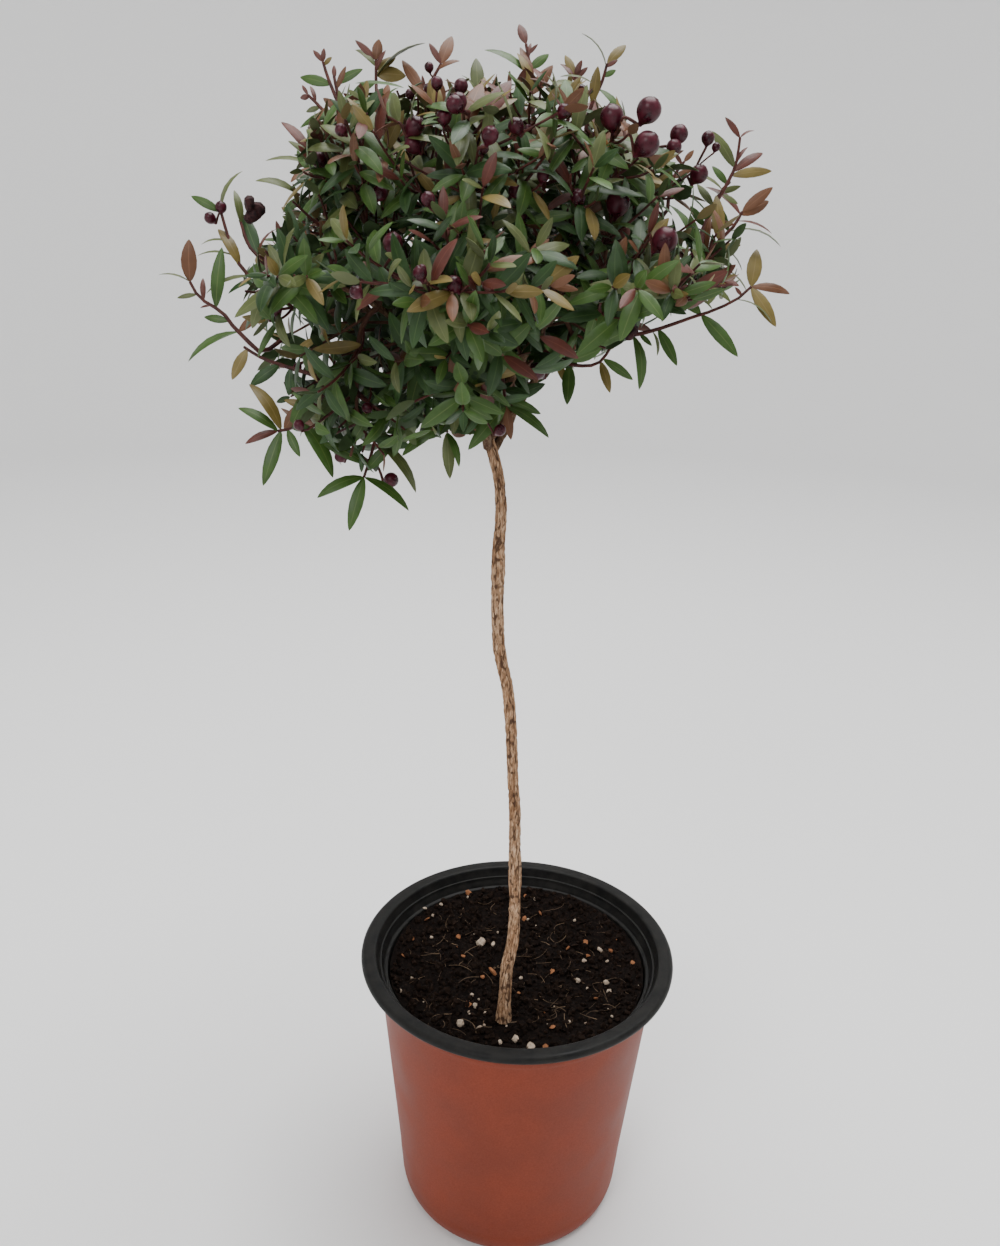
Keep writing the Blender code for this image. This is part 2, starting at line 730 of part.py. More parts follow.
def keep_largest_shell(mesh):
    """Drops what a union leaves loose: scraps outside the body, and sealed hollows in it."""
    bm = bmesh.new()
    bm.from_mesh(mesh)
    bmesh.ops.remove_doubles(bm, verts=bm.verts, dist=WELD / 10)
    bmesh.ops.triangulate(bm, faces=bm.faces)
    keep = max(shells_of(bm), key=len)
    bmesh.ops.delete(bm, geom=[face for face in bm.faces if face not in keep], context="FACES")
    bm.to_mesh(mesh)
    bm.free()


def fuse(name, pieces, collection):
    """One closed body from the pieces, joined by a single union."""
    body, *others = pieces
    pile = bpy.data.collections.new("pile")
    bpy.context.scene.collection.children.link(pile)
    bpy.context.scene.collection.objects.link(body)
    for piece in others:
        pile.objects.link(piece)
    union = body.modifiers.new("union", "BOOLEAN")
    union.operation = "UNION"
    union.operand_type = "COLLECTION"
    union.collection = pile
    graph = bpy.context.evaluated_depsgraph_get()
    mesh = bpy.data.meshes.new_from_object(body.evaluated_get(graph))
    mesh.name = name
    keep_largest_shell(mesh)
    for piece in pieces:
        bpy.data.objects.remove(piece, do_unlink=True)
    bpy.data.collections.remove(pile)
    obj = bpy.data.objects.new(name, mesh)
    collection.objects.link(obj)
    return obj


def make_crown(collection, stem, boughs):
    masses = plan_masses(boughs)
    centres = np.array([mass.centre for mass in masses])
    wood = [(stem, [stem_radius(point.z) for point in stem])]
    wood += [(bough.path, bough.radii) for bough in boughs]
    stalk_radii = [STALK_ROOT_RADIUS] * STALK_POINTS
    section = triangle_section()
    for number, mass in enumerate(masses):
        others = [(other.stalk, stalk_radii) for other in masses if other is not mass]
        room = Room(number, centres, wood + others)
        chance = random.Random(SEED + number)
        twigs, leaves, fruit = grow_mass(room, mass.stalk, BERRIES.get(mass.name, 0), chance)
        pieces = make_twigs(twigs, section)
        pieces += [make_leaf(corners) for corners in leaves]
        pieces += [make_berry(centre) for centre in fruit]
        finish(fuse(mass.name, pieces, collection), LEAF_COLOUR, 0.5)
        print(f"{mass.name}: {len(twigs)} twigs, {len(leaves)} leaves, {len(fruit)} berries")
    bpy.data.objects.remove(section, do_unlink=True)


def main():
    parts, cutters = start_scene()
    make_pot_wall(parts, cutters)
    make_pot_rim(parts)
    make_soil(parts)
    stem = stem_path()
    stem_radii = [stem_radius(point.z) for point in stem]
    finish(tube("trunk", stem, stem_radii, STEM_SIDES, parts), BARK_COLOUR, 0.85)
    boughs = plan_boughs(stem)
    for bough in boughs:
        limb = tube(bough.name, bough.path, bough.radii, BOUGH_SIDES, parts)
        finish(limb, BARK_COLOUR, 0.85)
    make_crown(parts, stem, boughs)


main()
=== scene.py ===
import math
import random
from itertools import product

import bpy
import numpy as np
from mathutils import Matrix


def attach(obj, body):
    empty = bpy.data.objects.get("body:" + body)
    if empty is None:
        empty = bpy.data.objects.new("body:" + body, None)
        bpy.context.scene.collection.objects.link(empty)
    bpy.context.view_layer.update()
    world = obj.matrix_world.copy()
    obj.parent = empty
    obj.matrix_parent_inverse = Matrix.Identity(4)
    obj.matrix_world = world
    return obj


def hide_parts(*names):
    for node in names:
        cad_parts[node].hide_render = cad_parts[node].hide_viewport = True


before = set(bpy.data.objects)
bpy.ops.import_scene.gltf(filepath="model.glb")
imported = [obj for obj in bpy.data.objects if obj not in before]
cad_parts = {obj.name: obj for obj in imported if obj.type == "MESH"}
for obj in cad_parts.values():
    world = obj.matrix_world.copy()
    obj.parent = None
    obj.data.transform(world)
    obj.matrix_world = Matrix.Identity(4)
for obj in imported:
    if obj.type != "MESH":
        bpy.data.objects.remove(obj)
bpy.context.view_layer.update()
mm = 0.001
upright = np.array([0.0, 0.0, 1.0])


# Each row of an array over its own length.
def unit(rows):
    return rows / np.maximum(np.linalg.norm(rows, axis=-1, keepdims=True), 1e-12)


# Straight blend from a to b, t running 0 to 1.
def blend(a, b, t):
    return a + (b - a) * t


hashing = dict(primes=(73856093, 19349663, 83492791), seedPrime=26544357,
               mixers=(1274126177, 2246822519), shifts=(15, 13), bits=0xFFFFFFFF)


# Smooth random value from -1 to 1 at each point: the eight corners of the unit cell round it
# hold hashed values, weighed by 3t^2 - 2t^3 along each axis.
def cloudNoise(points, seed):
    cell = np.floor(points).astype(np.int64)
    part = points - cell
    part = part * part * (3 - 2 * part)
    bits = hashing["bits"]
    total = 0
    for corner in product((0, 1), repeat=3):
        key = (cell + corner) * hashing["primes"]
        value = key[..., 0] ^ key[..., 1] ^ key[..., 2] ^ seed * hashing["seedPrime"]
        value = (value & bits) * hashing["mixers"][0] & bits
        value = (value ^ value >> hashing["shifts"][0]) * hashing["mixers"][1] & bits
        value = value ^ value >> hashing["shifts"][1]
        weight = np.prod(np.where(corner, part, 1 - part), axis=-1)
        total = total + weight * (value / (bits // 2) - 1)
    return total


# Quads between the rows of a grid whose columns close into a ring. Rows that climb while the
# columns turn counter-clockwise face outwards, and falling rows are flipped.
def ringQuads(rows, columns, closed=False, falling=False):
    row = np.arange(rows if closed else rows - 1)[:, None] * columns
    above = (row + columns) % (rows * columns)
    here = np.arange(columns)[None]
    after = (here + 1) % columns
    quads = np.stack([row + here, row + after, above + after, above + here], -1).reshape(-1, 4)
    return quads[:, ::-1] if falling else quads


# Triangles from one point to a ring that starts at first.
def fan(pole, first, columns, falling=False):
    here = np.arange(columns)
    fans = np.stack([np.full(columns, pole), first + (here + 1) % columns, first + here], -1)
    return fans[:, ::-1] if falling else fans


# Faces of a tube with a pole at each end. The poles are the two points after the last row.
def shellFaces(rows, columns, falling=False):
    last = rows * columns
    poles = [fan(last, 0, columns, falling), fan(last + 1, last - columns, columns, not falling)]
    return ringQuads(rows, columns, falling=falling), np.concatenate(poles)


# The same faces for many equal shapes, each with size points.
def copied(faces, count, size):
    return faces[None] + (np.arange(count) * size)[:, None, None]


# Rows of (radius, height) turned about Z: radius times cos and sin of the turn. A row holds one
# pair, or one for each column.
def turned(rows, columns):
    rows = np.asarray(rows, float)
    rows = rows[:, None] if rows.ndim == 2 else rows
    angle = np.arange(columns) * math.tau / columns
    radius, height = rows[..., 0], rows[..., 1]
    return np.stack([radius * np.cos(angle), radius * np.sin(angle), height + 0 * angle], -1)


# Points, quads and triangles become one smooth object at the origin. cornerUv has a row for
# each face corner, quads first. Edges sharper than crease degrees stay sharp.
def putPiece(name, points, quads, triangles, material, slot=None, stands=(), cornerUv=None, crease=50):
    quads, triangles = np.reshape(quads, (-1, 4)), np.reshape(triangles, (-1, 3))
    mesh = bpy.data.meshes.new(name)
    mesh.from_pydata(points.reshape(-1, 3).tolist(), [], quads.tolist() + triangles.tolist())
    mesh.polygons.foreach_set("use_smooth", np.ones(len(mesh.polygons), bool))
    if cornerUv is not None:
        layer = mesh.uv_layers.new(name="surface")
        layer.uv.foreach_set("vector", np.ascontiguousarray(cornerUv, np.float32).ravel())
    mesh.set_sharp_from_angle(angle=math.radians(crease))
    mesh.materials.append(material)
    piece = bpy.data.objects.new(name, mesh)
    bpy.context.scene.collection.objects.link(piece)
    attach(piece, "root")
    if stands:
        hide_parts(*stands)
    print(f"  {name}: {len(quads) * 2 + len(triangles)} triangles")
    return piece


# The camera stands before the pot, as high as the crown, and looks down on the whole plant.
# focus, middle and longSide are in the photo's own pixels.
camera = dict(
    distance=411.95 * mm, height=444.6 * mm, down=21.04, aside=-1.72, roll=1.8, focus=1100.0,
    middle=(500, 623), longSide=1246, sensor=36, clips=(0.01, 20),
)


# A camera or lamp at its place, from its own axes: right, up and back.
def stand(name, data, axes, place):
    holder = bpy.data.objects.new(name, data)
    rows = [(*row, at) for row, at in zip(np.stack(axes, 1), place)]
    holder.matrix_world = Matrix(rows + [(0, 0, 0, 1)])
    bpy.context.scene.collection.objects.link(holder)
    return holder


# The sight line from the angles down and aside, then the frame rolled about it.
def placeCamera():
    down, aside, roll = (math.radians(camera[key]) for key in ("down", "aside", "roll"))
    ahead = np.array([math.sin(aside) * math.cos(down), math.cos(aside) * math.cos(down), -math.sin(down)])
    across = unit(np.cross(ahead, upright))
    over = np.cross(across, ahead)
    right = math.cos(roll) * across + math.sin(roll) * over
    top = math.cos(roll) * over - math.sin(roll) * across
    lens = bpy.data.cameras.new("camera")
    lens.sensor_width = camera["sensor"]
    lens.lens = camera["sensor"] * camera["focus"] / camera["longSide"]
    lens.clip_start, lens.clip_end = camera["clips"]
    place = (0, -camera["distance"], camera["height"])
    bpy.context.scene.camera = stand("camera", lens, (right, top, -ahead), place)


# The camera's place, and its axes as columns.
def eyeFrame():
    eye = bpy.context.scene.camera.matrix_world
    return np.array(eye.translation), np.array(eye.to_3x3())


# The camera's place, and the direction in which it sees one of the photo's pixels.
def sightOf(x, y):
    eye, axes = eyeFrame()
    middle = camera["middle"]
    return eye, unit(axes @ [x - middle[0], middle[1] - y, -camera["focus"]])


# The direction in which the camera looks: its back axis turned round.
def eyeAhead():
    return -eyeFrame()[1][:, 2]


# The photo's pixel over each point: across and up over the depth, times the focus.
def pixelsOf(points):
    eye, axes = eyeFrame()
    seen = (np.asarray(points) - eye) @ axes
    return seen[..., :2] / -seen[..., 2:] * [camera["focus"], -camera["focus"]] + camera["middle"]


# How far along a line of sight each point lies, and how far off it.
def alongSight(points, eye, ray):
    reach = (points - eye) @ ray
    return reach, np.linalg.norm(points - eye - ray * reach[:, None], axis=1)


placeCamera()


# Base of every finish: a shader with plain values, and Object coordinates in millimetres.
def startFinish(name, colour, roughness, specular):
    material = bpy.data.materials.new(name)
    material.use_nodes = True
    tree = material.node_tree
    shader = tree.nodes["Principled BSDF"]
    shader.inputs["Base Color"].default_value = (*colour, 1)
    shader.inputs["Roughness"].default_value = roughness
    shader.inputs["Specular IOR Level"].default_value = specular
    place = tree.nodes.new("ShaderNodeTexCoord")
    scale = tree.nodes.new("ShaderNodeMapping")
    scale.inputs["Scale"].default_value = (1 / mm, 1 / mm, 1 / mm)
    tree.links.new(place.outputs["Object"], scale.inputs["Vector"])
    return material, tree, shader, scale.outputs["Vector"]


# Noise that repeats about every size millimetres, stretched by three factors.
def noiseOf(tree, place, size, detail=2, roughness=0.5, stretch=(1, 1, 1)):
    shrink = tree.nodes.new("ShaderNodeMapping")
    shrink.inputs["Scale"].default_value = [1 / (size * factor) for factor in stretch]
    tree.links.new(place, shrink.inputs["Vector"])
    noise = tree.nodes.new("ShaderNodeTexNoise")
    noise.inputs["Scale"].default_value = 1
    noise.inputs["Detail"].default_value = detail
    noise.inputs["Roughness"].default_value = roughness
    tree.links.new(shrink.outputs["Vector"], noise.inputs["Vector"])
    return noise.outputs["Fac"]


# Colours dealt along a 0 to 1 value, to a socket if one is given: stops of (place, colour), or
# one number for a grey.
def rampOf(tree, value, stops, socket=None):
    ramp = tree.nodes.new("ShaderNodeValToRGB")
    band = ramp.color_ramp
    while len(band.elements) < len(stops):
        band.elements.new(0.5)
    for element, (place, colour) in zip(band.elements, stops):
        element.position = place
        element.color = (*np.broadcast_to(colour, 3).tolist(), 1)
    tree.links.new(value, ramp.inputs["Fac"])
    if socket:
        tree.links.new(ramp.outputs["Color"], socket)
    return ramp.outputs["Color"]


# One colour laid over another by a factor, or multiplied into it.
def mixOf(tree, factor, first, second, way="MIX"):
    mix = tree.nodes.new("ShaderNodeMix")
    mix.data_type = "RGBA"
    mix.blend_type = way
    for socket, value in ((mix.inputs["Factor"], factor), (mix.inputs[6], first), (mix.inputs[7], second)):
        if isinstance(value, bpy.types.NodeSocket):
            tree.links.new(value, socket)
        else:
            socket.default_value = value if isinstance(value, (int, float)) else (*value, 1)
    return mix.outputs[2]


# Relief in the shading only: height value, depth in millimetres.
def bumpOf(tree, shader, height, depth, strength):
    bump = tree.nodes.new("ShaderNodeBump")
    bump.inputs["Strength"].default_value = strength
    bump.inputs["Distance"].default_value = depth * mm
    tree.links.new(height, bump.inputs["Height"])
    tree.links.new(bump.outputs["Normal"], shader.inputs["Normal"])


# The two values of the piece's own UV map, as the outputs X and Y.
def surfaceOf(tree):
    uv = tree.nodes.new("ShaderNodeUVMap")
    uv.uv_map = "surface"
    split = tree.nodes.new("ShaderNodeSeparateXYZ")
    tree.links.new(uv.outputs["UV"], split.inputs["Vector"])
    return split.outputs


# A finish from one noise (size in millimetres, detail, roughness): colours and gloss dealt along
# it, and relief (depth in millimetres, strength) from it or from a grain of its own.
def finishCloud(name, colour, roughness, specular, cloud, colours, gloss=None, relief=None, grain=None):
    material, tree, shader, place = startFinish(name, colour, roughness, specular)
    value = noiseOf(tree, place, *cloud)
    rampOf(tree, value, colours, shader.inputs["Base Color"])
    if gloss:
        rampOf(tree, value, gloss, shader.inputs["Roughness"])
    if relief:
        bumpOf(tree, shader, noiseOf(tree, place, *grain) if grain else value, *relief)
    return material


# A plain finish: clouds of two colours, size in millimetres, and relief of a depth from them.
def finishPlain(name, first, second, roughness, size=2.0, depth=0.1, specular=0.3):
    return finishCloud(name, first, roughness, specular, (size, 3, 0.6), ((0.3, first), (0.7, second)),
                       relief=(depth, 0.6))


# Pot, with the solids' own sizes. The arches are cut at the foot, all round. The last lines are
# the rows of the wall's skins, and the finishes.
pot = dict(
    height=130 * mm, rimRadius=70 * mm, lipWidth=6.5 * mm, lipDepth=4 * mm,
    wallTop=62.5 * mm, taper=0.094, thickness=1.2 * mm, floor=1.6 * mm, seam=0.3 * mm,
    footRadius=45.5 * mm, footRounding=12 * mm,
    arches=8, archWidth=15 * mm, archHeight=2.8 * mm, archFirst=math.radians(-111), archReach=40 * mm,
    shoulder=117 * mm, shoulderStep=0.2 * mm, shoulderBlend=0.35 * mm, around=448, rimAround=256,
    upperRows=(118.5 * mm, 6), shoulderRows=(118 * mm, 116 * mm, 7), lowerRows=(114 * mm, 13 * mm, 16),
    footRows=(0, 88, 14), archRows=(43 * mm, 0.1 * mm), flatRows=(20 * mm, 3 * mm),
    floorRows=(3 * mm, 20 * mm, 36 * mm), raisedRows=(38 * mm, 44 * mm),
    innerRows=(8 * mm, 14 * mm, 60 * mm, 110 * mm),
    wallColour=(0.19, 0.036, 0.017), wallRoughness=0.5, wallSpecular=0.16, wallRelief=(0.06, 0.5),
    grain=(0.7, 3), grainColours=((0.3, (0.17, 0.031, 0.014)), (0.7, (0.21, 0.042, 0.021))),
    patches=(26, 3), patchLevels=((0.35, 0.9), (0.75, 1.12)), patchGloss=((0.3, 0.42), (0.7, 0.56)),
    rimFinish=dict(colour=(0.012, 0.012, 0.012), roughness=0.42, specular=0.13, cloud=(6, 4, 0.7),
                   colours=((0.35, (0.008, 0.008, 0.008)), (0.75, (0.02, 0.019, 0.017))),
                   gloss=((0.3, 0.34), (0.7, 0.55)), relief=(0.04, 0.4), grain=(0.5, 2)),
)


# Outer radius of the wall at a height: a straight taper, a fine step under the lip, and below
# the rounding a quarter of an ellipse.
def wallRadius(z):
    lean = pot["wallTop"] - (pot["height"] - pot["lipDepth"] - z) * pot["taper"]
    corner = pot["wallTop"] - (pot["height"] - pot["lipDepth"] - pot["footRounding"]) * pot["taper"]
    low = np.clip((pot["footRounding"] - z) / pot["footRounding"], 0, 1)
    foot = pot["footRadius"] + (corner - pot["footRadius"]) * np.sqrt(1 - low**2)
    step = pot["shoulderStep"] / (1 + np.exp((z - pot["shoulder"]) / pot["shoulderBlend"]))
    return np.where(low > 0, foot, lean) - step * (z > pot["footRounding"] * 2)


# Height of the arch over the floor, by the distance from its middle: the cap of a circle.
def archLift(angle, radius):
    pitch = math.tau / pot["arches"]
    aside = (angle - pot["archFirst"] + pitch / 2) % pitch - pitch / 2
    across = radius * np.sin(aside)
    bend = (pot["archWidth"] ** 2 / 4 + pot["archHeight"] ** 2) / (2 * pot["archHeight"])
    cap = np.sqrt(np.maximum(bend**2 - across**2, 0)) - (bend - pot["archHeight"])
    return np.maximum(cap, 0)


# Rows of (radius, height) turned about Z: out over the floor, up the inside, down the outside
# and in under the foot, all lifted over the arches.
def makePotWall(material):
    columns = pot["around"]
    angle = np.arange(columns) * math.tau / columns
    top = pot["height"] - pot["lipDepth"] - pot["seam"]

    def level(radius, height):
        return np.stack([np.full(columns, radius), height + 0 * angle], -1)

    rows = [level(radius, pot["floor"]) for radius in pot["floorRows"]]
    rows += [level(radius, pot["floor"] + archLift(angle, radius)) for radius in pot["raisedRows"]]
    for height in (*pot["innerRows"], top):
        rows.append(level(wallRadius(np.array(height)) - pot["thickness"], height))
    foot = pot["footRounding"] * (1 - np.sin(np.radians(np.linspace(*pot["footRows"]))))
    heights = np.concatenate([np.linspace(top, *pot["upperRows"]), np.linspace(*pot["shoulderRows"]),
                              np.linspace(*pot["lowerRows"]), foot])[:, None]
    radius = wallRadius(heights)
    lifted = np.maximum(heights, archLift(angle[None], radius) * np.ones_like(radius))
    reaches = (pot["footRadius"], pot["archRows"][0], pot["archReach"])
    flat = [level(reach, archLift(angle, reach)) for reach in reaches]
    flat += [level(reach, 0) for reach in (pot["archReach"] - pot["archRows"][1], *pot["flatRows"])]
    rows = np.concatenate([np.array(rows), np.stack([wallRadius(lifted), lifted], -1), np.array(flat)])
    points = np.concatenate([turned(rows, columns).reshape(-1, 3), [[0, 0, pot["floor"]], [0, 0, 0]]])
    quads, triangles = shellFaces(len(rows), columns, falling=True)
    return putPiece("potWall", points, quads, triangles, material, "pot_wall_plastic", ["pot_wall"])


# An arc's points in a profile: centre, two radii, from one angle in degrees to another.
def arcPoints(centre, radii, start, end, count):
    turn = np.radians(np.linspace(start, end, count))
    return np.stack([centre[0] + radii[0] * np.cos(turn), centre[1] + radii[1] * np.sin(turn)], -1)


# The rolled lip, the collar inside it and the bead that runs round the collar, as one ring.
def makePotRim(material):
    top, rim = pot["height"], pot["rimRadius"]
    under = top - pot["lipDepth"]
    inner = rim - pot["lipWidth"]
    low, bead = top - 18 * mm, top - 8.5 * mm
    wall, foot, face = (wallRadius(np.array(z)) - pot["thickness"] - gap
                        for z, gap in ((under, pot["seam"]), (low, pot["seam"]), (bead, 1.2 * mm)))
    profile = np.concatenate([
        arcPoints((rim - 2 * mm, top - 2 * mm), (2 * mm, 2 * mm), 90, -70, 12),
        [[rim - 2 * mm, under], [wall + 1.4 * mm, under + 0.1 * mm], [wall, under - 0.2 * mm]],
        [[foot, low], [foot - 2.4 * mm, low]],
        [[face - 1.5 * mm, bead - 1.2 * mm]],
        arcPoints((face - 0.7 * mm, bead - 0.7 * mm), (0.8 * mm, 0.7 * mm), 180, 90, 5),
        [[face - 0.05 * mm, bead + 0.25 * mm], [face + 0.1 * mm, bead + 1.2 * mm]],
        arcPoints((inner + 1.1 * mm, top - 1.2 * mm), (1.3 * mm, 1.1 * mm), 190, 90, 7),
        [[inner + 2.4 * mm, top + 0.02 * mm]],
    ])
    columns = pot["rimAround"]
    quads = ringQuads(len(profile), columns, closed=True, falling=True)
    return putPiece("potRim", turned(profile, columns), quads, [], material, "pot_rim_plastic", ["pot_rim"],
                    crease=40)


# Terracotta-coloured plastic: fine grain in colour, times paler rubbed patches with less gloss.
def finishPotWall():
    material, tree, shader, place = startFinish("terracottaPlastic", pot["wallColour"], pot["wallRoughness"],
                                                pot["wallSpecular"])
    grain = noiseOf(tree, place, *pot["grain"])
    patches = noiseOf(tree, place, *pot["patches"])
    base = rampOf(tree, grain, pot["grainColours"])
    worn = rampOf(tree, patches, pot["patchLevels"])
    tree.links.new(mixOf(tree, 1.0, base, worn, "MULTIPLY"), shader.inputs["Base Color"])
    rampOf(tree, patches, pot["patchGloss"], shader.inputs["Roughness"])
    bumpOf(tree, shader, grain, *pot["wallRelief"])
    return material


makePotWall(finishPotWall())
makePotRim(finishCloud("blackPlastic", **pot["rimFinish"]))
print("pot done")

# Compost: a crumbly surface of lumps (size, height in millimetres).
soil = dict(
    level=118.3 * mm, edgeRise=1.8 * mm, edgeWidth=12 * mm, backRise=2.2 * mm, edgeRadius=47 * mm,
    radius=57.4 * mm, firstRing=0.4 * mm, depth=7 * mm, around=220, rings=84,
    lumps=((9, 0.7), (3.1, 0.55), (1.3, 0.4)), lumpRise=0.5 * mm, noiseLevel=7.0, seed=41,
    finish=dict(colour=(0.006, 0.004, 0.0032), roughness=0.9, specular=0.08, cloud=(1.6, 5, 0.7),
                relief=(0.7, 0.9),
                colours=((0.3, (0.002, 0.0014, 0.0012)), (0.5, (0.0055, 0.0034, 0.0027)),
                         (0.72, (0.018, 0.011, 0.008)))),
)


# Height of the compost: level in the middle, a little higher round the wall and at the back,
# and three sizes of lumps from noise.
def soilHeight(xy):
    radius = np.hypot(xy[..., 0], xy[..., 1])
    rise = soil["edgeRise"] * np.clip((radius - soil["edgeRadius"]) / soil["edgeWidth"], 0, 1)
    rise = rise + soil["backRise"] * np.clip(xy[..., 1] / soil["radius"], 0, 1)
    spot = np.concatenate([xy / mm, np.full((*xy.shape[:-1], 1), soil["noiseLevel"])], -1)
    lumps = sum(height * cloudNoise(spot / size, 1 + k) for k, (size, height) in enumerate(soil["lumps"]))
    return soil["level"] + rise + lumps * mm


# Rings at the compost's height from the middle to the wall, and a last one straight below them.
def makeSoil(material):
    columns = soil["around"]
    radius = np.linspace(soil["firstRing"], soil["radius"], soil["rings"])
    top = turned(np.stack([radius, 0 * radius], -1), columns)
    top[..., 2] = soilHeight(top[..., :2])
    under = soil["level"] - soil["depth"]
    skirt = top[-1:].copy()
    skirt[..., 2] = under
    rows = np.concatenate([top, skirt])
    middle = [[0, 0, float(soilHeight(np.zeros((1, 2)))[0])], [0, 0, under]]
    points = np.concatenate([rows.reshape(-1, 3), middle])
    return putPiece("compost", points, *shellFaces(len(rows), columns, falling=True), material,
                    "compost", ["soil"], crease=80)


lump = dict(cap=0.86, squeeze=(0.6, 1.3), upright=2.0)


# Small lumps: one rough ball of rings and columns for each place, squeezed and turned, its
# surface pushed in and out by chance. Returns the points of them all, with their faces.
def lumpPoints(places, sizes, flatness, roughness, seed, columns=6, rings=3):
    dice = np.random.default_rng(seed)
    count = len(places)
    rise = np.linspace(-1, 1, rings + 2)[1:-1] * math.pi / 2 * lump["cap"]
    ball = turned(np.stack([np.cos(rise), np.sin(rise)], -1), columns).reshape(-1, 3)
    ball = np.concatenate([ball, [[0, 0, -1], [0, 0, 1]]])
    shape = ball[None] * dice.uniform(*lump["squeeze"], (count, 1, 3)) * [1, 1, flatness]
    shape = shape * (1 + roughness * dice.uniform(-1, 1, (count, len(ball), 1)))
    axis = unit(dice.normal(size=(count, 3)))
    side = unit(np.cross(axis, dice.normal(size=(count, 3))))
    axis = unit(axis + upright * lump["upright"] * (1 - flatness))
    side = unit(side - axis * (side * axis).sum(-1, keepdims=True))
    basis = np.stack([side, np.cross(axis, side), axis], 1)
    points = np.einsum("nvk,nkc->nvc", shape * np.reshape(sizes, (-1, 1, 1)) / 2, basis) + places[:, None]
    return points, *(copied(faces, count, len(ball)) for faces in shellFaces(rings, columns))


# Places dealt evenly over the compost, each at the surface's height plus a share of its size.
def soilPlaces(dice, count, sizes, reach=0.985, sink=0.2):
    radius = soil["radius"] * reach * np.sqrt(dice.uniform(0, 1, count))
    angle = dice.uniform(0, math.tau, count)
    xy = np.stack([radius * np.cos(angle), radius * np.sin(angle)], -1)
    return np.concatenate([xy, (soilHeight(xy) + sizes * sink)[:, None]], -1)


# Places on the compost under pixels of the photo, each a little above the surface.
def soilUnder(spots, above):
    places = []
    for spot in spots:
        eye, ray = sightOf(*spot[:2])
        places.append(eye + ray * (soil["level"] + soil["lumpRise"] - eye[2]) / ray[2])
    places = np.array(places)
    places[:, 2] = soilHeight(places[:, :2]) + above
    return places


# Directions along paths (n, stations, 3), and two across them: each station's first is the one
# before, made square to the path again.
def pathFrames(paths, seedWay):
    along = unit(np.gradient(paths, axis=1))
    first = [unit(np.cross(along[:, 0], seedWay))]
    for k in range(1, along.shape[1]):
        first.append(unit(first[-1] - along[:, k] * (first[-1] * along[:, k]).sum(-1, keepdims=True)))
    first = np.stack(first, 1)
    return along, first, np.cross(along, first)


tube = dict(seedWay=(0.37, 0.81, 0.45), footBulge=0.5, tipBulge=0.7)


# Tubes along many paths at once: paths (n, stations, 3) and radii (n, stations). Each ring is
# the path's point plus radius times cos and sin of the turn, across the path's own direction.
def tubePoints(paths, radii, sides):
    paths, radii = np.asarray(paths, float), np.asarray(radii)
    count, stations = paths.shape[:2]
    along, first, second = pathFrames(paths, tube["seedWay"])
    turn = np.arange(sides) * math.tau / sides
    ring = first[:, :, None] * np.cos(turn)[:, None] + second[:, :, None] * np.sin(turn)[:, None]
    rings = paths[:, :, None] + ring * radii[..., None, None]
    foot = paths[:, :1] - along[:, :1] * radii[:, :1, None] * tube["footBulge"]
    tip = paths[:, -1:] + along[:, -1:] * radii[:, -1:, None] * tube["tipBulge"]
    points = np.concatenate([rings.reshape(count, -1, 3), foot, tip], 1)
    return points, *(copied(faces, count, points.shape[1]) for faces in shellFaces(stations, sides))


# Loose crumbs. The sizes are dealt by the cube of a random share, so most are fine.
crumbs = dict(count=2600, shares=(0.5, 1.0), largest=3.4 * mm, shape=(0.8, 0.3, 5),
              finish=((0.003, 0.002, 0.0016), (0.019, 0.011, 0.0075), 0.92, 3.0, 0.3, 0.08))

# Grains among them: the spots that show in the photo (pixel, size in millimetres), and some
# more by chance. shape is lumpPoints' flatness, roughness, seed, columns and rings.
perlite = dict(
    spots=((481, 944, 4.6), (460, 1025, 3.0), (479, 1028, 2.4), (515, 1040, 3.2), (531, 1048, 3.2),
           (500, 1044, 2.0), (578, 982, 3.0), (606, 984, 2.0), (609, 992, 2.0), (600, 951, 3.2),
           (584, 962, 2.0), (607, 962, 1.8), (425, 915, 1.8), (472, 995, 2.0), (475, 1006, 2.2),
           (441, 909, 1.8), (649, 962, 1.8), (493, 946, 2.4)),
    above=0.9 * mm, more=34, sizes=(0.7, 1.9), sink=0.4, shape=(0.85, 0.22, 9, 8, 5),
    finish=("perlite", (0.3, 0.22, 0.16), (0.56, 0.46, 0.36), 0.85, 1.2, 0.3, 0.1),
)
barkBits = dict(
    spots=((493, 971, 4.5), (585, 944, 4.2), (611, 952, 3.2), (390, 934, 2.4), (468, 898, 4.0),
           (415, 898, 5.0)),
    above=0.7 * mm, more=26, sizes=(1.0, 3.2), sink=0.3, shape=(0.4, 0.3, 13, 7, 3),
    finish=("barkBits", (0.17, 0.06, 0.025), (0.36, 0.15, 0.06), 0.8, 2.2, 0.2),
)
fibres = dict(
    count=120, above=0.6 * mm, reach=0.9, sink=1.2, tilt=(-0.08, 0.16), lengths=(3, 11), curl=0.3,
    widths=(0.09, 0.2), stations=7, sides=3, taper=0.5,
    finish=((0.05, 0.03, 0.018), (0.19, 0.125, 0.075), 0.85, 4.0, 0.1),
)


# Grains of one kind on the compost, as one piece.
def scatterGrains(name, grain, dice):
    chosen = soilUnder(grain["spots"], grain["above"])
    sizes = np.array([size for x, y, size in grain["spots"]]) * mm
    more = dice.uniform(*grain["sizes"], grain["more"]) * mm
    places = np.concatenate([chosen, soilPlaces(dice, grain["more"], more, sink=grain["sink"])])
    parts = lumpPoints(places, np.concatenate([sizes, more]), *grain["shape"])
    putPiece(name, *parts, finishPlain(*grain["finish"]), "compost", crease=30)


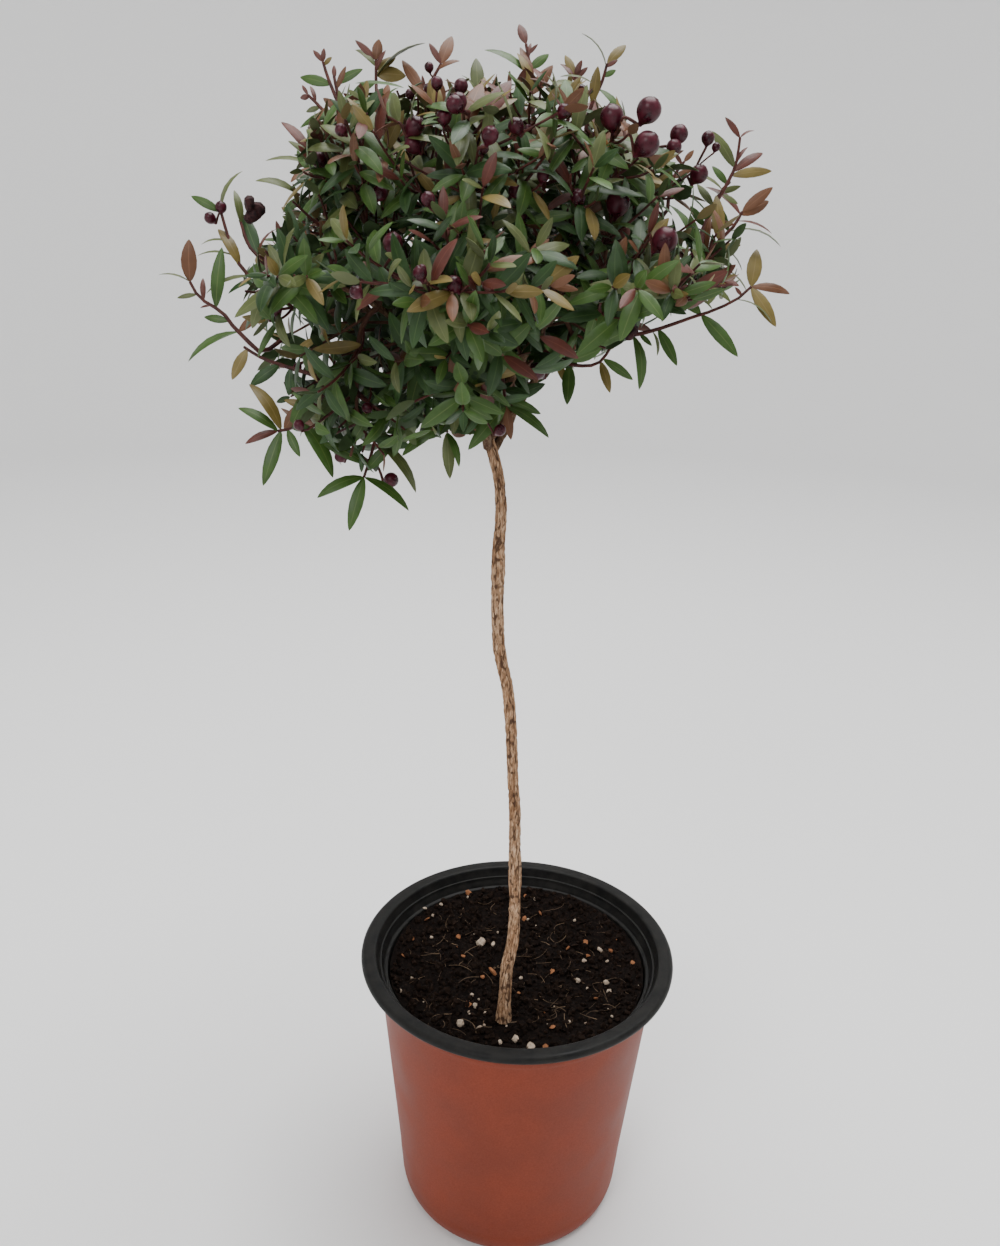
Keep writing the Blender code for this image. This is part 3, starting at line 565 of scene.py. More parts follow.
# Crumbs, grains and fibres. A fibre runs straight, plus a curl that swells as half a sine.
def scatterSoil():
    dice = np.random.default_rng(soil["seed"])
    sizes = dice.uniform(*crumbs["shares"], crumbs["count"]) ** 3 * crumbs["largest"]
    parts = lumpPoints(soilPlaces(dice, crumbs["count"], sizes), sizes, *crumbs["shape"])
    putPiece("peatCrumbs", *parts, finishPlain("peatCrumbs", *crumbs["finish"]), "compost", crease=30)
    scatterGrains("perliteGrains", perlite, dice)
    scatterGrains("barkBits", barkBits, dice)
    count = fibres["count"]
    starts = soilPlaces(dice, count, np.full(count, fibres["above"]), fibres["reach"], fibres["sink"])
    turn = dice.uniform(0, math.tau, count)
    ways = unit(np.stack([np.cos(turn), np.sin(turn), dice.uniform(*fibres["tilt"], count)], -1))
    lengths = dice.uniform(*fibres["lengths"], count) * mm
    curls = dice.uniform(-fibres["curl"], fibres["curl"], count) * lengths
    widths = dice.uniform(*fibres["widths"], count) * mm
    t = np.linspace(0, 1, fibres["stations"])
    paths = starts[:, None] + ways[:, None] * (lengths[:, None] * t)[..., None]
    aside = unit(np.cross(ways, upright))[:, None]
    paths = paths + aside * (curls[:, None] * np.sin(t * math.pi))[..., None]
    parts = tubePoints(paths, widths[:, None] * (1 - fibres["taper"] * t), fibres["sides"])
    putPiece("peatFibres", *parts, finishPlain("peatFibres", *fibres["finish"]), "compost")


makeSoil(finishCloud("dampPeat", **soil["finish"]))
scatterSoil()
print("compost done")

# Stem: height, then place across and in depth, of the points that it bends through.
stem = dict(
    stations=((118.8, -4.8, -35.0), (143.0, -4.1, -34.1), (161.0, -1.7, -33.0), (201.0, -2.5, -32.0),
              (242.0, -5.0, -31.1), (268.0, -7.2, -30.2), (288.0, -11.7, -28.8), (320.0, -13.1, -27.1),
              (338.0, -12.4, -26.3), (352.0, -13.8, -25.6), (365.0, -17.9, -24.4), (377.0, -22.4, -23.0)),
    points=30, radius=2.5 * mm, topRadius=2.2 * mm, flare=1.1 * mm, flareHeight=7 * mm,
    bulge=0.35 * mm, bulgeHeight=312 * mm, bulgeLength=24 * mm,
)

# Crown: a flattened ball with a few lobes, each (azimuth, elevation, pull, spread in degrees).
crown = dict(
    centre=np.array([-24.0, -22.0, 420.0]) * mm, halfWidth=103 * mm, above=76 * mm, below=60 * mm,
    lobes=((200, -56, 34 * mm, 22), (180, -8, 7 * mm, 14), (0, 2, 4 * mm, 14),
           (180, 28, -14 * mm, 14), (0, -40, -17 * mm, 20), (0, 43, -9 * mm, 9)),
    outline=((235, 335), (236, 305), (248, 280), (262, 250), (282, 226), (292, 200), (298, 168), (308, 142),
             (318, 118), (334, 102), (352, 92), (380, 84), (410, 92), (440, 84), (468, 88), (490, 84),
             (520, 74), (550, 74), (580, 84), (600, 90), (620, 112), (645, 148), (680, 150), (705, 150),
             (728, 165), (742, 195), (742, 225), (728, 255), (733, 285), (700, 306), (640, 328), (600, 352),
             (560, 364), (530, 388), (500, 418), (470, 430), (430, 434), (402, 448), (392, 470), (345, 462),
             (318, 440), (296, 424), (282, 398), (262, 372), (244, 350)),
)

# Boughs leave the stem's head one above another and carry three masses each.
bough = dict(
    sides=("left", "front_left", "front", "front_right", "right", "back_right", "back", "back_left"),
    first=180, step=1.7 * mm, rootRadius=1.5 * mm, tipRadius=1.0 * mm, leaderRadius=1.8 * mm,
    rise=42, tipRise=24, reach=0.42, tipDrop=7 * mm, leaderRise=12 * mm, points=7, order=3, seam=0.4 * mm,
)

# Masses: name, elevation of the room, its depth as a share of the crown's reach, elevation of
# the stalk's end, and the side to which the stalk leaves the bough. The top ones have an azimuth.
# hang: the azimuth at which the lower masses hang most, and by how many degrees.
ringMasses = (("upper_leaves", 29, 0.76, 36, 1), ("outer_leaves", -6, 0.78, 1, 0),
              ("lower_leaves", -36, 0.80, -37, -1))
topMasses = (("top_leaves_back", 90, 60, 0.68, 64, 0), ("top_leaves_left", 210, 60, 0.68, 66, 1),
             ("top_leaves_right", 330, 60, 0.68, 64, -1))
hang = dict(side=215, swing=10)


# Points on a Catmull-Rom curve through the stations, evenly dealt.
def smoothPath(stations, count):
    ends = np.concatenate([[2 * stations[0] - stations[1]], stations, [2 * stations[-1] - stations[-2]]])
    place = np.linspace(0, len(stations) - 1, count)
    leg = np.minimum(place.astype(int), len(stations) - 2)
    t = (place - leg)[:, None]
    a, b, c, d = ends[leg], ends[leg + 1], ends[leg + 2], ends[leg + 3]
    return (2 * b + (c - a) * t + (2 * a - 5 * b + 4 * c - d) * t**2 + (3 * b - a - 3 * c + d) * t**3) / 2


# The stem's radius: a plain taper, a flare that fades with height and a soft swelling.
def stemRadius(z):
    foot, top = stem["stations"][0][0] * mm, stem["stations"][-1][0] * mm
    plain = blend(stem["radius"], stem["topRadius"], (z - foot) / (top - foot))
    flare = stem["flare"] * np.exp(-(z - foot) / stem["flareHeight"])
    return plain + flare + stem["bulge"] * np.exp(-(((z - stem["bulgeHeight"]) / stem["bulgeLength"]) ** 2))


# Unit vectors for angles in degrees: azimuth 0 is +X and 90 is +Y.
def heading(azimuth, elevation):
    a, e = np.radians(azimuth), np.radians(elevation)
    return np.stack([np.cos(a) * np.cos(e), np.sin(a) * np.cos(e), np.sin(e) * np.ones_like(np.cos(a))], -1)


# How far the crown reaches from its centre along unit vectors: an ellipsoid of two halves,
# plus each lobe's pull, which fades as a bell with the angle from the lobe.
def crownReach(ways):
    ways = np.asarray(ways)
    across = np.hypot(ways[..., 0], ways[..., 1]) / crown["halfWidth"]
    along = ways[..., 2] / np.where(ways[..., 2] > 0, crown["above"], crown["below"])
    reach = 1 / np.hypot(across, along)
    for azimuth, elevation, pull, spread in crown["lobes"]:
        apart = np.arccos(np.clip(ways @ heading(azimuth, elevation), -1, 1))
        reach = reach + pull * np.exp(-((apart / math.radians(spread)) ** 2))
    return reach


# True for pixels inside the photo's outline of the dense crown: of the outline's edges, an odd
# number lie to their right.
def insideOutline(pixels):
    (x1, y1), (x2, y2) = (np.roll(crown["outline"], -turn, 0).T.astype(float) for turn in (0, 1))
    x, y = pixels[..., :1], pixels[..., 1:]
    across = x1 + (x2 - x1) * (y - y1) / np.where(y1 == y2, 1, y2 - y1)
    return (((y1 > y) != (y2 > y)) & (x < across)).sum(-1) % 2 == 1


# Cubic curve from a place to another that leaves and arrives along the two ways.
def bezier(start, startWay, end, endWay, count):
    handle = np.linalg.norm(end - start) / 3
    t = np.linspace(0, 1, count)[:, None]
    s = 1 - t
    out, back = start + startWay * handle, end - endWay * handle
    return start * s**3 + 3 * out * s * s * t + 3 * back * s * t * t + end * t**3


# The stem's path through its stations, with its foot upright.
def planStem():
    stations = np.array([(x, y, z) for z, x, y in stem["stations"]]) * mm
    path = smoothPath(stations, stem["points"])
    path[0, :2] = path[1, :2]
    return path


# The leader and the ring of boughs, by the solids' rule.
def planBoughs(path):
    rise = unit(path[-1] - path[-2])
    tip = crown["centre"] + upright * bough["leaderRise"]
    count = bough["points"]
    leader = bezier(path[-1] + rise * bough["seam"], rise, tip, upright, count)
    planned = [("top", leader, bough["leaderRadius"])]
    for k, side in enumerate(bough["sides"]):
        azimuth = bough["first"] + k * 360 / len(bough["sides"])
        outward = heading(azimuth, 0)
        height = path[-1, 2] - stem["topRadius"] - bough["order"] * k % len(bough["sides"]) * bough["step"]
        angle = math.radians(bough["rise"])
        level = height + bough["rootRadius"] * math.cos(angle)
        after = int(np.argmax(path[:, 2] >= level))
        share = (level - path[after - 1, 2]) / (path[after, 2] - path[after - 1, 2])
        axis = blend(path[after - 1], path[after], share)
        lean = unit(path[after] - path[after - 1])
        clear = stemRadius(height) / lean[2] + bough["rootRadius"] * math.sin(angle) + bough["seam"]
        root = np.array([axis[0], axis[1], height]) + outward * clear
        tip = crown["centre"] + outward * crownReach(outward) * bough["reach"] - upright * bough["tipDrop"]
        way, tipWay = heading(azimuth, bough["rise"]), heading(azimuth, bough["tipRise"])
        planned.append((side, bezier(root, way, tip, tipWay, count), bough["rootRadius"]))
    return planned


# Twigs of one kind each: a mass's stalk, the solids' side shoots, finer ones between them, late
# ones on them, level and inner ones, and those of the sprays.
stalkKind, sideKind, fineKind, lateKind, levelKind, innerKind, sprayKind = range(7)

# Lengths are tried by their shares in turn, until the shoot stays in its room.
twig = dict(
    fork=math.radians(58), tipMargin=9 * mm, seat=2.5 * mm, stalkPoints=12, stalkBare=0.3,
    stalkRadius=0.95 * mm, stalkTip=0.45 * mm, radius=0.6 * mm, thinner=0.75, tip=0.35 * mm,
    spacing=13.0 * mm, fewest=3.2, length=21 * mm, lengthRange=(0.95, 1.3), bare=0.15,
    spread=math.radians(54), spreadChance=0.15, turnChance=0.3, bend=0.45, lift=0.85, lowLift=0.4,
    seed=700, stations=7, shares=(1, 0.8, 0.6, 0.45), longShares=(1.7, 1.4, 1.2, 1, 0.8, 0.6, 0.45),
    slack=3 * mm, margins=(4 * mm, 10 * mm), highMargin=1.5,
    fineSeed=9000, fineStep=0.6, fineLength=12.5 * mm, fineRange=(0.7, 1.5),
    fineSpread=math.radians(46), fineChance=0.2,
    longEnough=15 * mm, latePlace=(0.35, 0.55), lateTurn=0.6, lateLength=9 * mm, lateRange=(0.8, 1.4),
    levelShares=(0.55, 0.72, 0.9), levelSpread=math.radians(66), levelLength=30 * mm,
    levelRange=(0.8, 1.15), levelBend=0.12,
    innerShares=(0.12, 0.24, 0.38, 0.52, 0.66, 0.8, 0.94), innerSpread=math.radians(62),
    innerLength=27 * mm, innerRange=(0.7, 1.2), innerBend=0.15, innerBare=0.2,
    points=12, sides=6,
    pieces=(("brownTwigs", (stalkKind, innerKind),
             (0.055, 0.022, 0.014), (0.11, 0.05, 0.03), 0.75, 3.0, 0.2),
            ("redTwigs", (sideKind, fineKind, lateKind, levelKind, sprayKind),
             (0.028, 0.009, 0.009), (0.095, 0.027, 0.02), 0.6, 3.0, 0.1, 0.2)),
)


# One mass of foliage: its name, its room's centre, and the stalk that leads to the crown's edge.
def planMass(limb, across, name, azimuth, roomRise, depth, stalkRise, leave):
    tip = limb[1][-1]
    ahead = unit(tip - limb[1][-2])
    across = unit(across - ahead * (across @ ahead)) * leave if leave else across
    roomWay, stalkWay = heading(azimuth, roomRise), heading(azimuth, stalkRise)
    centre = crown["centre"] + roomWay * crownReach(roomWay) * depth
    end = crown["centre"] + stalkWay * (crownReach(stalkWay) - twig["tipMargin"])
    startWay = unit(ahead * math.cos(twig["fork"]) + across * math.sin(twig["fork"])) if leave else ahead
    start = tip - ahead * (twig["seat"] if leave else 0)
    return name, centre, bezier(start, startWay, end, stalkWay, twig["stalkPoints"])


# Three masses on the leader and three on each bough, the lower ones hanging more on one side.
def planMasses(limbs):
    leader, *ring = limbs
    masses = [planMass(leader, np.array([-1.0, 0, 0]), *row) for row in topMasses]
    for k, limb in enumerate(ring):
        azimuth = bough["first"] + k * 360 / len(ring)
        swing = hang["swing"] * math.cos(math.radians(azimuth - hang["side"]))
        for kind, roomRise, depth, stalkRise, leave in ringMasses:
            sag = swing if leave < 0 else 0
            row = (f"{kind}_{limb[0]}", azimuth, roomRise - sag, depth, stalkRise - sag, leave)
            masses.append(planMass(limb, upright, *row))
    return masses


# Length along a path from its start to each of its points.
def lengthOf(path):
    return np.concatenate([[0], np.cumsum(np.linalg.norm(np.diff(path, axis=0), axis=1))])


# The place at a length along a path, and the direction of the leg that it lies on.
def placeOn(path, reach):
    run = lengthOf(path)
    place = np.array([np.interp(reach, run, path[:, k]) for k in range(3)])
    leg = min(int(np.searchsorted(run, reach, side="right")) - 1, len(path) - 2)
    return place, unit(path[leg + 1] - path[leg])


# The same path with evenly spaced points.
def resample(path, count):
    run = lengthOf(path)
    return np.stack([np.interp(np.linspace(0, run[-1], count), run, path[:, k]) for k in range(3)], -1)


# A unit vector across a way, turned about it from the level.
def sideWay(way, turn):
    level = unit(np.array([way[1], -way[0], 0.0])) if abs(way[2]) < 0.9999 else np.array([1.0, 0, 0])
    over = unit(np.cross(level, way))
    return level * math.cos(turn) + over * math.sin(turn)


# True if the points lie within the crown's reach and the photo's outline, less a margin, and
# their last one is no more than the slack nearer to another mass's centre than to its own.
def insideRoom(points, margin, own=None, centres=None):
    offset = np.atleast_2d(points) - crown["centre"]
    if (np.linalg.norm(offset, axis=-1) + margin > crownReach(unit(offset))).any():
        return False
    if not insideOutline(pixelsOf(np.atleast_2d(points)[-1])):
        return False
    if own is None:
        return True
    away = np.linalg.norm(centres - points[-1], axis=1)
    return bool(away[own] < away.min() + twig["slack"])


# A shoot that bends outwards and to the light, the longest of a few that stays in its room.
def growShoot(root, way, length, margin, lift=0.0, bend=0.45, shares=(1,), own=None, centres=None):
    aim = unit(unit(root - crown["centre"]) + upright * lift)
    for share in shares:
        path = [root]
        for k in range(1, twig["stations"]):
            ahead = unit(blend(way, aim, bend * 1.5 * k / twig["stations"]))
            path.append(path[-1] + ahead * length * share / (twig["stations"] - 1))
        path = np.array(path)
        if insideRoom(path[-3:], margin, own, centres):
            return path
    return None


# Leaves: opposite pairs, each pair a quarter turn from the last, small and steep at the tips.
# Lists run from a shoot's tip: gaps in millimetres, shares of the length, spreads in degrees.
# along, across, under and labels are the rows and columns of one leaf's mesh, the last column
# its keel.
leaf = dict(
    length=15.3 * mm, width=0.3, gaps=(3.5, 5.0, 6.2, 7.0), sizes=(0.62, 0.86, 1.0, 1.0),
    spreads=(27, 44, 57, 66), spreadChance=8, turnChance=14, droop=0.14, light=0.7, outwards=0.5,
    broad=(1.12, 1.08, 1.0, 1.0), lengthRange=(0.78, 1.12), widthRange=(0.86, 1.14),
    outline=(0.93, 0.74), arch=(22, 62), youngArch=0.4, stalk=0.3 * mm, fold=15, thickness=0.3 * mm, seed=23,
    outside=3 * mm, shrinks=(1.0, 0.85, 0.7), tipDrop=0.45, limbReaches=(0.35, 0.7, 1.0), limbGap=2.3 * mm,
    berryGap=1.8 * mm, sightShare=0.3, sightGap=2.2 * mm, apart=3.3 * mm, batches=30,
    along=(0.06, 0.18, 0.34, 0.52, 0.7, 0.85, 0.945), across=(-1, -0.5, 0, 0.5, 1, 0),
    under=(0, 0, 0, 0, 0, 1), labels=(0.0, 0.25, 0.5, 0.75, 1.0, 1.5), foldPower=1.3, flatten=0.35,
    roughness=0.42, specular=0.32, cloud=(9, 3, 0.6), shades=((0.3, 0.72), (0.5, 1), (0.72, 1.3)),
    rib=((0.45, 0), (0.49, 0.75), (0.51, 0.75), (0.55, 0)), underFrom=1.1, gloss=((0.3, -0.07), (0.7, 0.12)),
    grain=(1.4, 2), relief=(0.12, 0.5),
)


# Pairs of leaves along a path from its tip back to start: place, way, turn, and age.
def leafNodes(path, start, turn, age=0):
    reach = lengthOf(path)[-1]
    nodes = []
    while reach > start:
        place, way = placeOn(path, reach)
        nodes.append((place, way, turn, age + len(nodes)))
        turn += math.pi / 2
        reach -= leaf["gaps"][min(len(nodes), len(leaf["gaps"])) - 1] * mm
    return nodes


# Two opposite shoots to be grown from a place, each at a spread from the way.
def shootPair(place, way, turn, spreads, lengths, rolls, order):
    sides = (sideWay(way, turn), -sideWay(way, turn))
    return [(place, unit(way * math.cos(spread) + side * math.sin(spread)), length, roll, order)
            for side, spread, length, roll in zip(sides, spreads, lengths, rolls)]


# Two opposite finer shoots: both lengths are drawn from a range, then both rolls.
def finePair(fine, place, way, turn, spread, length, shares, kind):
    lengths = [length * fine.uniform(*shares) for side in range(2)]
    rolls = [fine.uniform(0, math.pi) for side in range(2)]
    return shootPair(place, way, turn, (spread, spread), lengths, rolls, kind)


# One mass: the solids' own side shoots, from the same draws, then finer shoots between and on
# them. Returns the twigs as (path, root radius, tip radius, kind) and the pairs of leaves.
def growMass(number, name, stalk, centres):
    dice = random.Random(twig["seed"] + number)
    fine = random.Random(twig["fineSeed"] + number)
    high, low, top = (name.startswith(word) for word in (("top", "upper"), "lower", "top"))
    lift = twig["lift"] * (twig["lowLift"] if low else 1)
    total = lengthOf(stalk)[-1]
    turn = dice.uniform(0, math.pi)
    last = int(np.nonzero(insideOutline(pixelsOf(stalk)))[0].max())
    twigs = [(stalk[:last + 1], twig["stalkRadius"], twig["stalkTip"], stalkKind)]
    pairs = leafNodes(stalk, total * twig["stalkBare"], turn)
    spacing = min(twig["spacing"], total / twig["fewest"])
    steps = round(total / spacing)
    shoots = []
    for step in range(1, steps):
        place, way = placeOn(stalk, total - step * spacing)
        turn += math.pi / 2 + dice.uniform(-twig["turnChance"], twig["turnChance"])
        draws = [(dice.uniform(-twig["spreadChance"], twig["spreadChance"]), dice.uniform(0, math.pi))
                 for side in range(2)]
        shoots += shootPair(place, way, turn, [twig["spread"] + spread for spread, roll in draws],
                            [twig["length"] * fine.uniform(*twig["lengthRange"]) for side in range(2)],
                            [roll for spread, roll in draws], sideKind)
    for step in range(low, steps):
        place, way = placeOn(stalk, total - (step + twig["fineStep"]) * spacing)
        turn = fine.uniform(0, math.pi)
        spread = twig["fineSpread"] + fine.uniform(-twig["fineChance"], twig["fineChance"])
        shoots += finePair(fine, place, way, turn, spread, twig["fineLength"], twig["fineRange"], fineKind)
    for share in () if top else twig["levelShares"]:
        place, way = placeOn(stalk, total * share)
        shoots += finePair(fine, place, way, 0.0, twig["levelSpread"], twig["levelLength"],
                           twig["levelRange"], levelKind)
    while shoots:
        place, way, length, roll, kind = shoots.pop(0)
        margin = fine.uniform(*twig["margins"]) * (twig["highMargin"] if high else 1)
        bend = twig["levelBend"] if kind == levelKind else twig["bend"]
        shares = twig["longShares"] if kind == sideKind else twig["shares"]
        path = growShoot(place, way, length, margin, lift, bend, shares, number, centres)
        if path is None:
            continue
        radius = twig["radius"] * (1 if kind == sideKind else twig["thinner"])
        twigs.append((path, radius, twig["tip"], kind))
        run = lengthOf(path)[-1]
        pairs += leafNodes(path, run * twig["bare"], roll)
        if kind == sideKind and run > twig["longEnough"] and not low:
            place, way = placeOn(path, run * fine.uniform(*twig["latePlace"]))
            shoots += finePair(fine, place, way, roll + twig["lateTurn"], twig["fineSpread"],
                               twig["lateLength"], twig["lateRange"], lateKind)
    return twigs, pairs


# Grows every mass, and short shaded shoots along the boughs.
def growCrown(masses, limbs):
    centres = np.array([centre for name, centre, stalk in masses])
    twigs, pairs = [], []
    for number, (name, centre, stalk) in enumerate(masses):
        grown, nodes = growMass(number, name, stalk, centres)
        twigs += grown
        pairs += nodes
    fine = random.Random(twig["fineSeed"] - 1)
    for (side, path, radius), share in product(limbs, twig["innerShares"]):
        place, way = placeOn(path, lengthOf(path)[-1] * share)
        for root, ahead, length, roll, kind in finePair(fine, place, way, fine.uniform(0, math.pi),
                                                        twig["innerSpread"], twig["innerLength"],
                                                        twig["innerRange"], innerKind):
            shoot = growShoot(root, ahead, length, twig["margins"][0], bend=twig["innerBend"],
                              shares=twig["shares"])
            if shoot is not None:
                twigs.append((shoot, twig["radius"], twig["tip"], kind))
                pairs += leafNodes(shoot, lengthOf(shoot)[-1] * twig["innerBare"], roll, 1)
    return twigs, pairs


# Sprays that stand out of the crown in the photo, at the depth of its centre or nearer by the
# first value in millimetres: the pixels that the shoot runs through, and its leaves, each with
# the pixels of its root and tip, its width in pixels and its kind.
deepGreen, green, moss, olive, bronze, russet = range(6)
sprays = (
    (0, ((262, 352), (245, 338), (232, 325), (222, 312), (200, 298), (190, 282)), (
        (191, 284, 189, 239, 18, bronze), (187, 279, 158, 275, 3, moss), (196, 293, 177, 298, 5, moss),
        (203, 299, 203, 278, 5, russet), (216, 309, 222, 247, 15, green), (226, 322, 204, 317, 7, green),
        (236, 331, 188, 362, 10, green), (240, 332, 262, 312, 9, bronze), (213, 308, 200, 308, 3, russet))),
    (0, ((300, 300), (272, 284), (247, 274), (238, 262), (229, 240), (221, 212)), (
        (226, 209, 191, 196, 10, green), (229, 206, 243, 171, 6, moss), (236, 266, 218, 229, 9, olive),
        (222, 247, 201, 245, 3, moss), (230, 258, 197, 256, 4, moss), (249, 277, 206, 294, 7, moss),
        (247, 275, 272, 262, 10, green), (262, 282, 228, 294, 7, deepGreen))),
    (5, ((296, 282), (276, 266), (258, 256), (248, 244), (240, 220)), (
        (257, 257, 243, 214, 14, deepGreen), (261, 252, 277, 229, 4, russet), (241, 222, 234, 190, 7, moss),
        (270, 262, 296, 234, 12, deepGreen))),
    (0, ((330, 212), (312, 202), (298, 194)), (
        (298, 195, 255, 181, 9, moss), (302, 200, 283, 212, 8, green))),
    (0, ((334, 196), (320, 174), (311, 155)), (
        (310, 152, 281, 122, 9, russet), (312, 150, 327, 106, 8, bronze), (312, 160, 288, 141, 7, moss),
        (316, 168, 265, 161, 8, moss), (322, 178, 300, 186, 8, green))),
    (0, ((346, 126), (336, 98), (328, 78), (323, 62)), (
        (324, 63, 324, 48, 6, russet), (322, 63, 313, 50, 5, russet), (325, 66, 332, 57, 5, olive),
        (329, 84, 300, 77, 10, green), (342, 112, 323, 98, 9, bronze))),
    (0, ((334, 126), (320, 107), (308, 95)), (
        (308, 96, 302, 85, 4, russet), (309, 97, 300, 98, 6, russet), (316, 103, 310, 86, 4, russet),
        (320, 108, 306, 112, 6, moss))),
    (0, ((348, 118), (338, 94), (334, 76)), (
        (334, 80, 334, 65, 5, russet), (337, 84, 363, 69, 9, green), (339, 88, 346, 66, 6, bronze),
        (344, 116, 300, 128, 10, green), (350, 122, 368, 92, 10, bronze))),
    (0, ((378, 134), (377, 104), (376, 80), (376, 60)), (
        (375, 61, 355, 40, 7, russet), (378, 61, 379, 39, 12, bronze), (376, 68, 355, 50, 6, moss),
        (379, 71, 396, 57, 8, olive), (380, 74, 406, 76, 14, olive), (377, 80, 352, 94, 10, green),
        (379, 70, 386, 50, 5, russet), (380, 78, 426, 43, 4, moss))),
    (0, ((424, 134), (422, 98), (432, 80), (441, 64)), (
        (441, 62, 429, 43, 6, russet), (442, 66, 452, 36, 12, bronze), (441, 72, 460, 61, 5, bronze),
        (422, 92, 402, 60, 10, bronze), (424, 96, 446, 106, 12, green), (426, 90, 422, 75, 4, russet))),
    (0, ((488, 132), (480, 106), (478, 92)), (
        (479, 94, 476, 58, 13, moss), (479, 100, 461, 75, 4, moss), (482, 104, 502, 114, 9, green))),
    (0, ((532, 124), (531, 90), (529, 62), (526, 44)), (
        (526, 43, 519, 24, 8, russet), (528, 54, 538, 44, 4, russet), (531, 90, 520, 47, 10, bronze),
        (527, 94, 517, 53, 9, olive), (529, 78, 484, 50, 10, green), (530, 68, 549, 54, 9, green),
        (533, 94, 553, 65, 12, bronze), (530, 60, 531, 43, 4, russet))),
    (0, ((568, 128), (574, 98), (575, 76)), (
        (575, 76, 565, 55, 8, olive), (576, 75, 582, 60, 6, russet), (577, 78, 588, 67, 5, russet),
        (574, 82, 560, 64, 5, russet), (574, 100, 545, 88, 9, moss))),
    (0, ((586, 130), (592, 104), (602, 82), (607, 64)), (
        (608, 62, 626, 45, 8, olive), (606, 68, 581, 33, 4, moss), (608, 66, 618, 60, 4, russet),
        (604, 76, 616, 70, 6, green), (600, 88, 626, 124, 9, green), (592, 104, 598, 66, 12, olive))),
    (0, ((706, 224), (716, 203), (727, 184), (736, 164), (740, 138)), (
        (740, 138, 725, 117, 7, russet), (740, 139, 755, 131, 3, russet), (738, 166, 748, 147, 4, russet),
        (736, 173, 763, 153, 8, russet), (734, 177, 772, 171, 10, olive), (735, 170, 712, 131, 12, moss),
        (720, 196, 738, 204, 6, moss), (722, 192, 690, 174, 6, moss))),
    (0, ((690, 285), (700, 264), (718, 242), (734, 226), (742, 212)), (
        (742, 211, 773, 187, 12, bronze), (741, 217, 769, 201, 12, bronze), (738, 222, 772, 234, 5, russet),
        (738, 214, 705, 187, 8, russet), (730, 233, 781, 247, 4, moss), (722, 242, 716, 195, 14, olive),
        (712, 252, 741, 245, 9, olive), (706, 258, 711, 216, 8, bronze), (704, 262, 706, 293, 13, green),
        (716, 246, 742, 271, 3, moss), (694, 266, 667, 204, 11, green), (698, 262, 690, 214, 12, green))),
    (-5, ((690, 262), (700, 236), (712, 208), (722, 190), (730, 182)), (
        (728, 186, 712, 166, 8, green), (716, 204, 729, 232, 9, green), (714, 206, 697, 184, 8, moss),
        (722, 192, 741, 186, 6, moss), (706, 226, 690, 206, 9, green), (706, 228, 734, 224, 9, bronze))),
    (0, ((664, 216), (669, 194), (674, 176), (684, 162)), (
        (684, 163, 694, 150, 6, bronze), (682, 166, 674, 152, 5, russet), (676, 178, 694, 168, 6, bronze),
        (669, 186, 653, 143, 10, green), (668, 192, 662, 164, 9, deepGreen),
        (667, 198, 694, 186, 8, green))),
    (0, ((600, 345), (618, 338), (640, 334), (665, 327), (690, 318), (712, 311), (732, 302), (746, 293),
         (751, 287)), (
        (751, 288, 757, 249, 14, olive), (752, 288, 790, 294, 9, bronze), (751, 290, 776, 327, 13, olive),
        (748, 290, 717, 266, 4, moss), (736, 300, 772, 323, 4, moss), (703, 314, 738, 357, 14, green),
        (734, 302, 700, 285, 8, moss), (713, 311, 664, 289, 8, moss), (698, 315, 677, 292, 11, green),
        (658, 330, 677, 366, 11, green), (631, 336, 639, 390, 11, green), (640, 335, 652, 346, 5, green),
        (650, 332, 657, 356, 4, moss), (744, 294, 735, 287, 4, russet))),
    (12, ((536, 345), (562, 362), (585, 366), (600, 362), (611, 347)), (
        (570, 365, 567, 405, 12, green), (600, 363, 610, 393, 9, olive), (604, 360, 633, 380, 9, green),
        (610, 350, 618, 334, 9, olive), (556, 359, 566, 384, 8, olive),
        (548, 353, 590, 358, 11, deepGreen))),
    (28, ((498, 352), (503, 382), (506, 406)), (
        (506, 406, 549, 438, 11, green), (505, 398, 541, 414, 10, green), (505, 408, 468, 450, 14, green),
        (504, 400, 458, 402, 14, green), (506, 410, 511, 440, 9, bronze),
        (503, 388, 527, 394, 9, deepGreen))),
    (20, ((436, 372), (441, 402), (447, 432)), (
        (446, 434, 450, 479, 12, moss), (447, 434, 459, 467, 7, green), (446, 428, 477, 433, 9, deepGreen),
        (445, 424, 402, 456, 12, green), (438, 384, 461, 408, 14, green))),
    (10, ((384, 402), (377, 432), (371, 455), (364, 477)), (
        (362, 480, 349, 531, 13, green), (362, 478, 317, 498, 11, green), (364, 478, 409, 511, 9, green),
        (367, 472, 392, 443, 12, green), (368, 466, 322, 443, 12, green), (375, 440, 416, 493, 10, moss))),
    (5, ((327, 392), (308, 418), (292, 428), (278, 431)), (
        (281, 431, 263, 486, 14, green), (277, 432, 245, 444, 8, russet), (286, 430, 300, 457, 9, green),
        (279, 430, 238, 408, 10, green), (281, 430, 249, 384, 11, olive), (284, 429, 302, 402, 12, bronze),
        (290, 428, 314, 384, 14, green), (302, 422, 333, 478, 13, green), (314, 410, 284, 400, 9, olive))),
    (0, ((318, 378), (290, 368), (262, 358), (244, 347)), (
        (280, 366, 250, 386, 12, deepGreen), (289, 368, 289, 396, 9, deepGreen),
        (246, 349, 232, 380, 11, olive))),
)

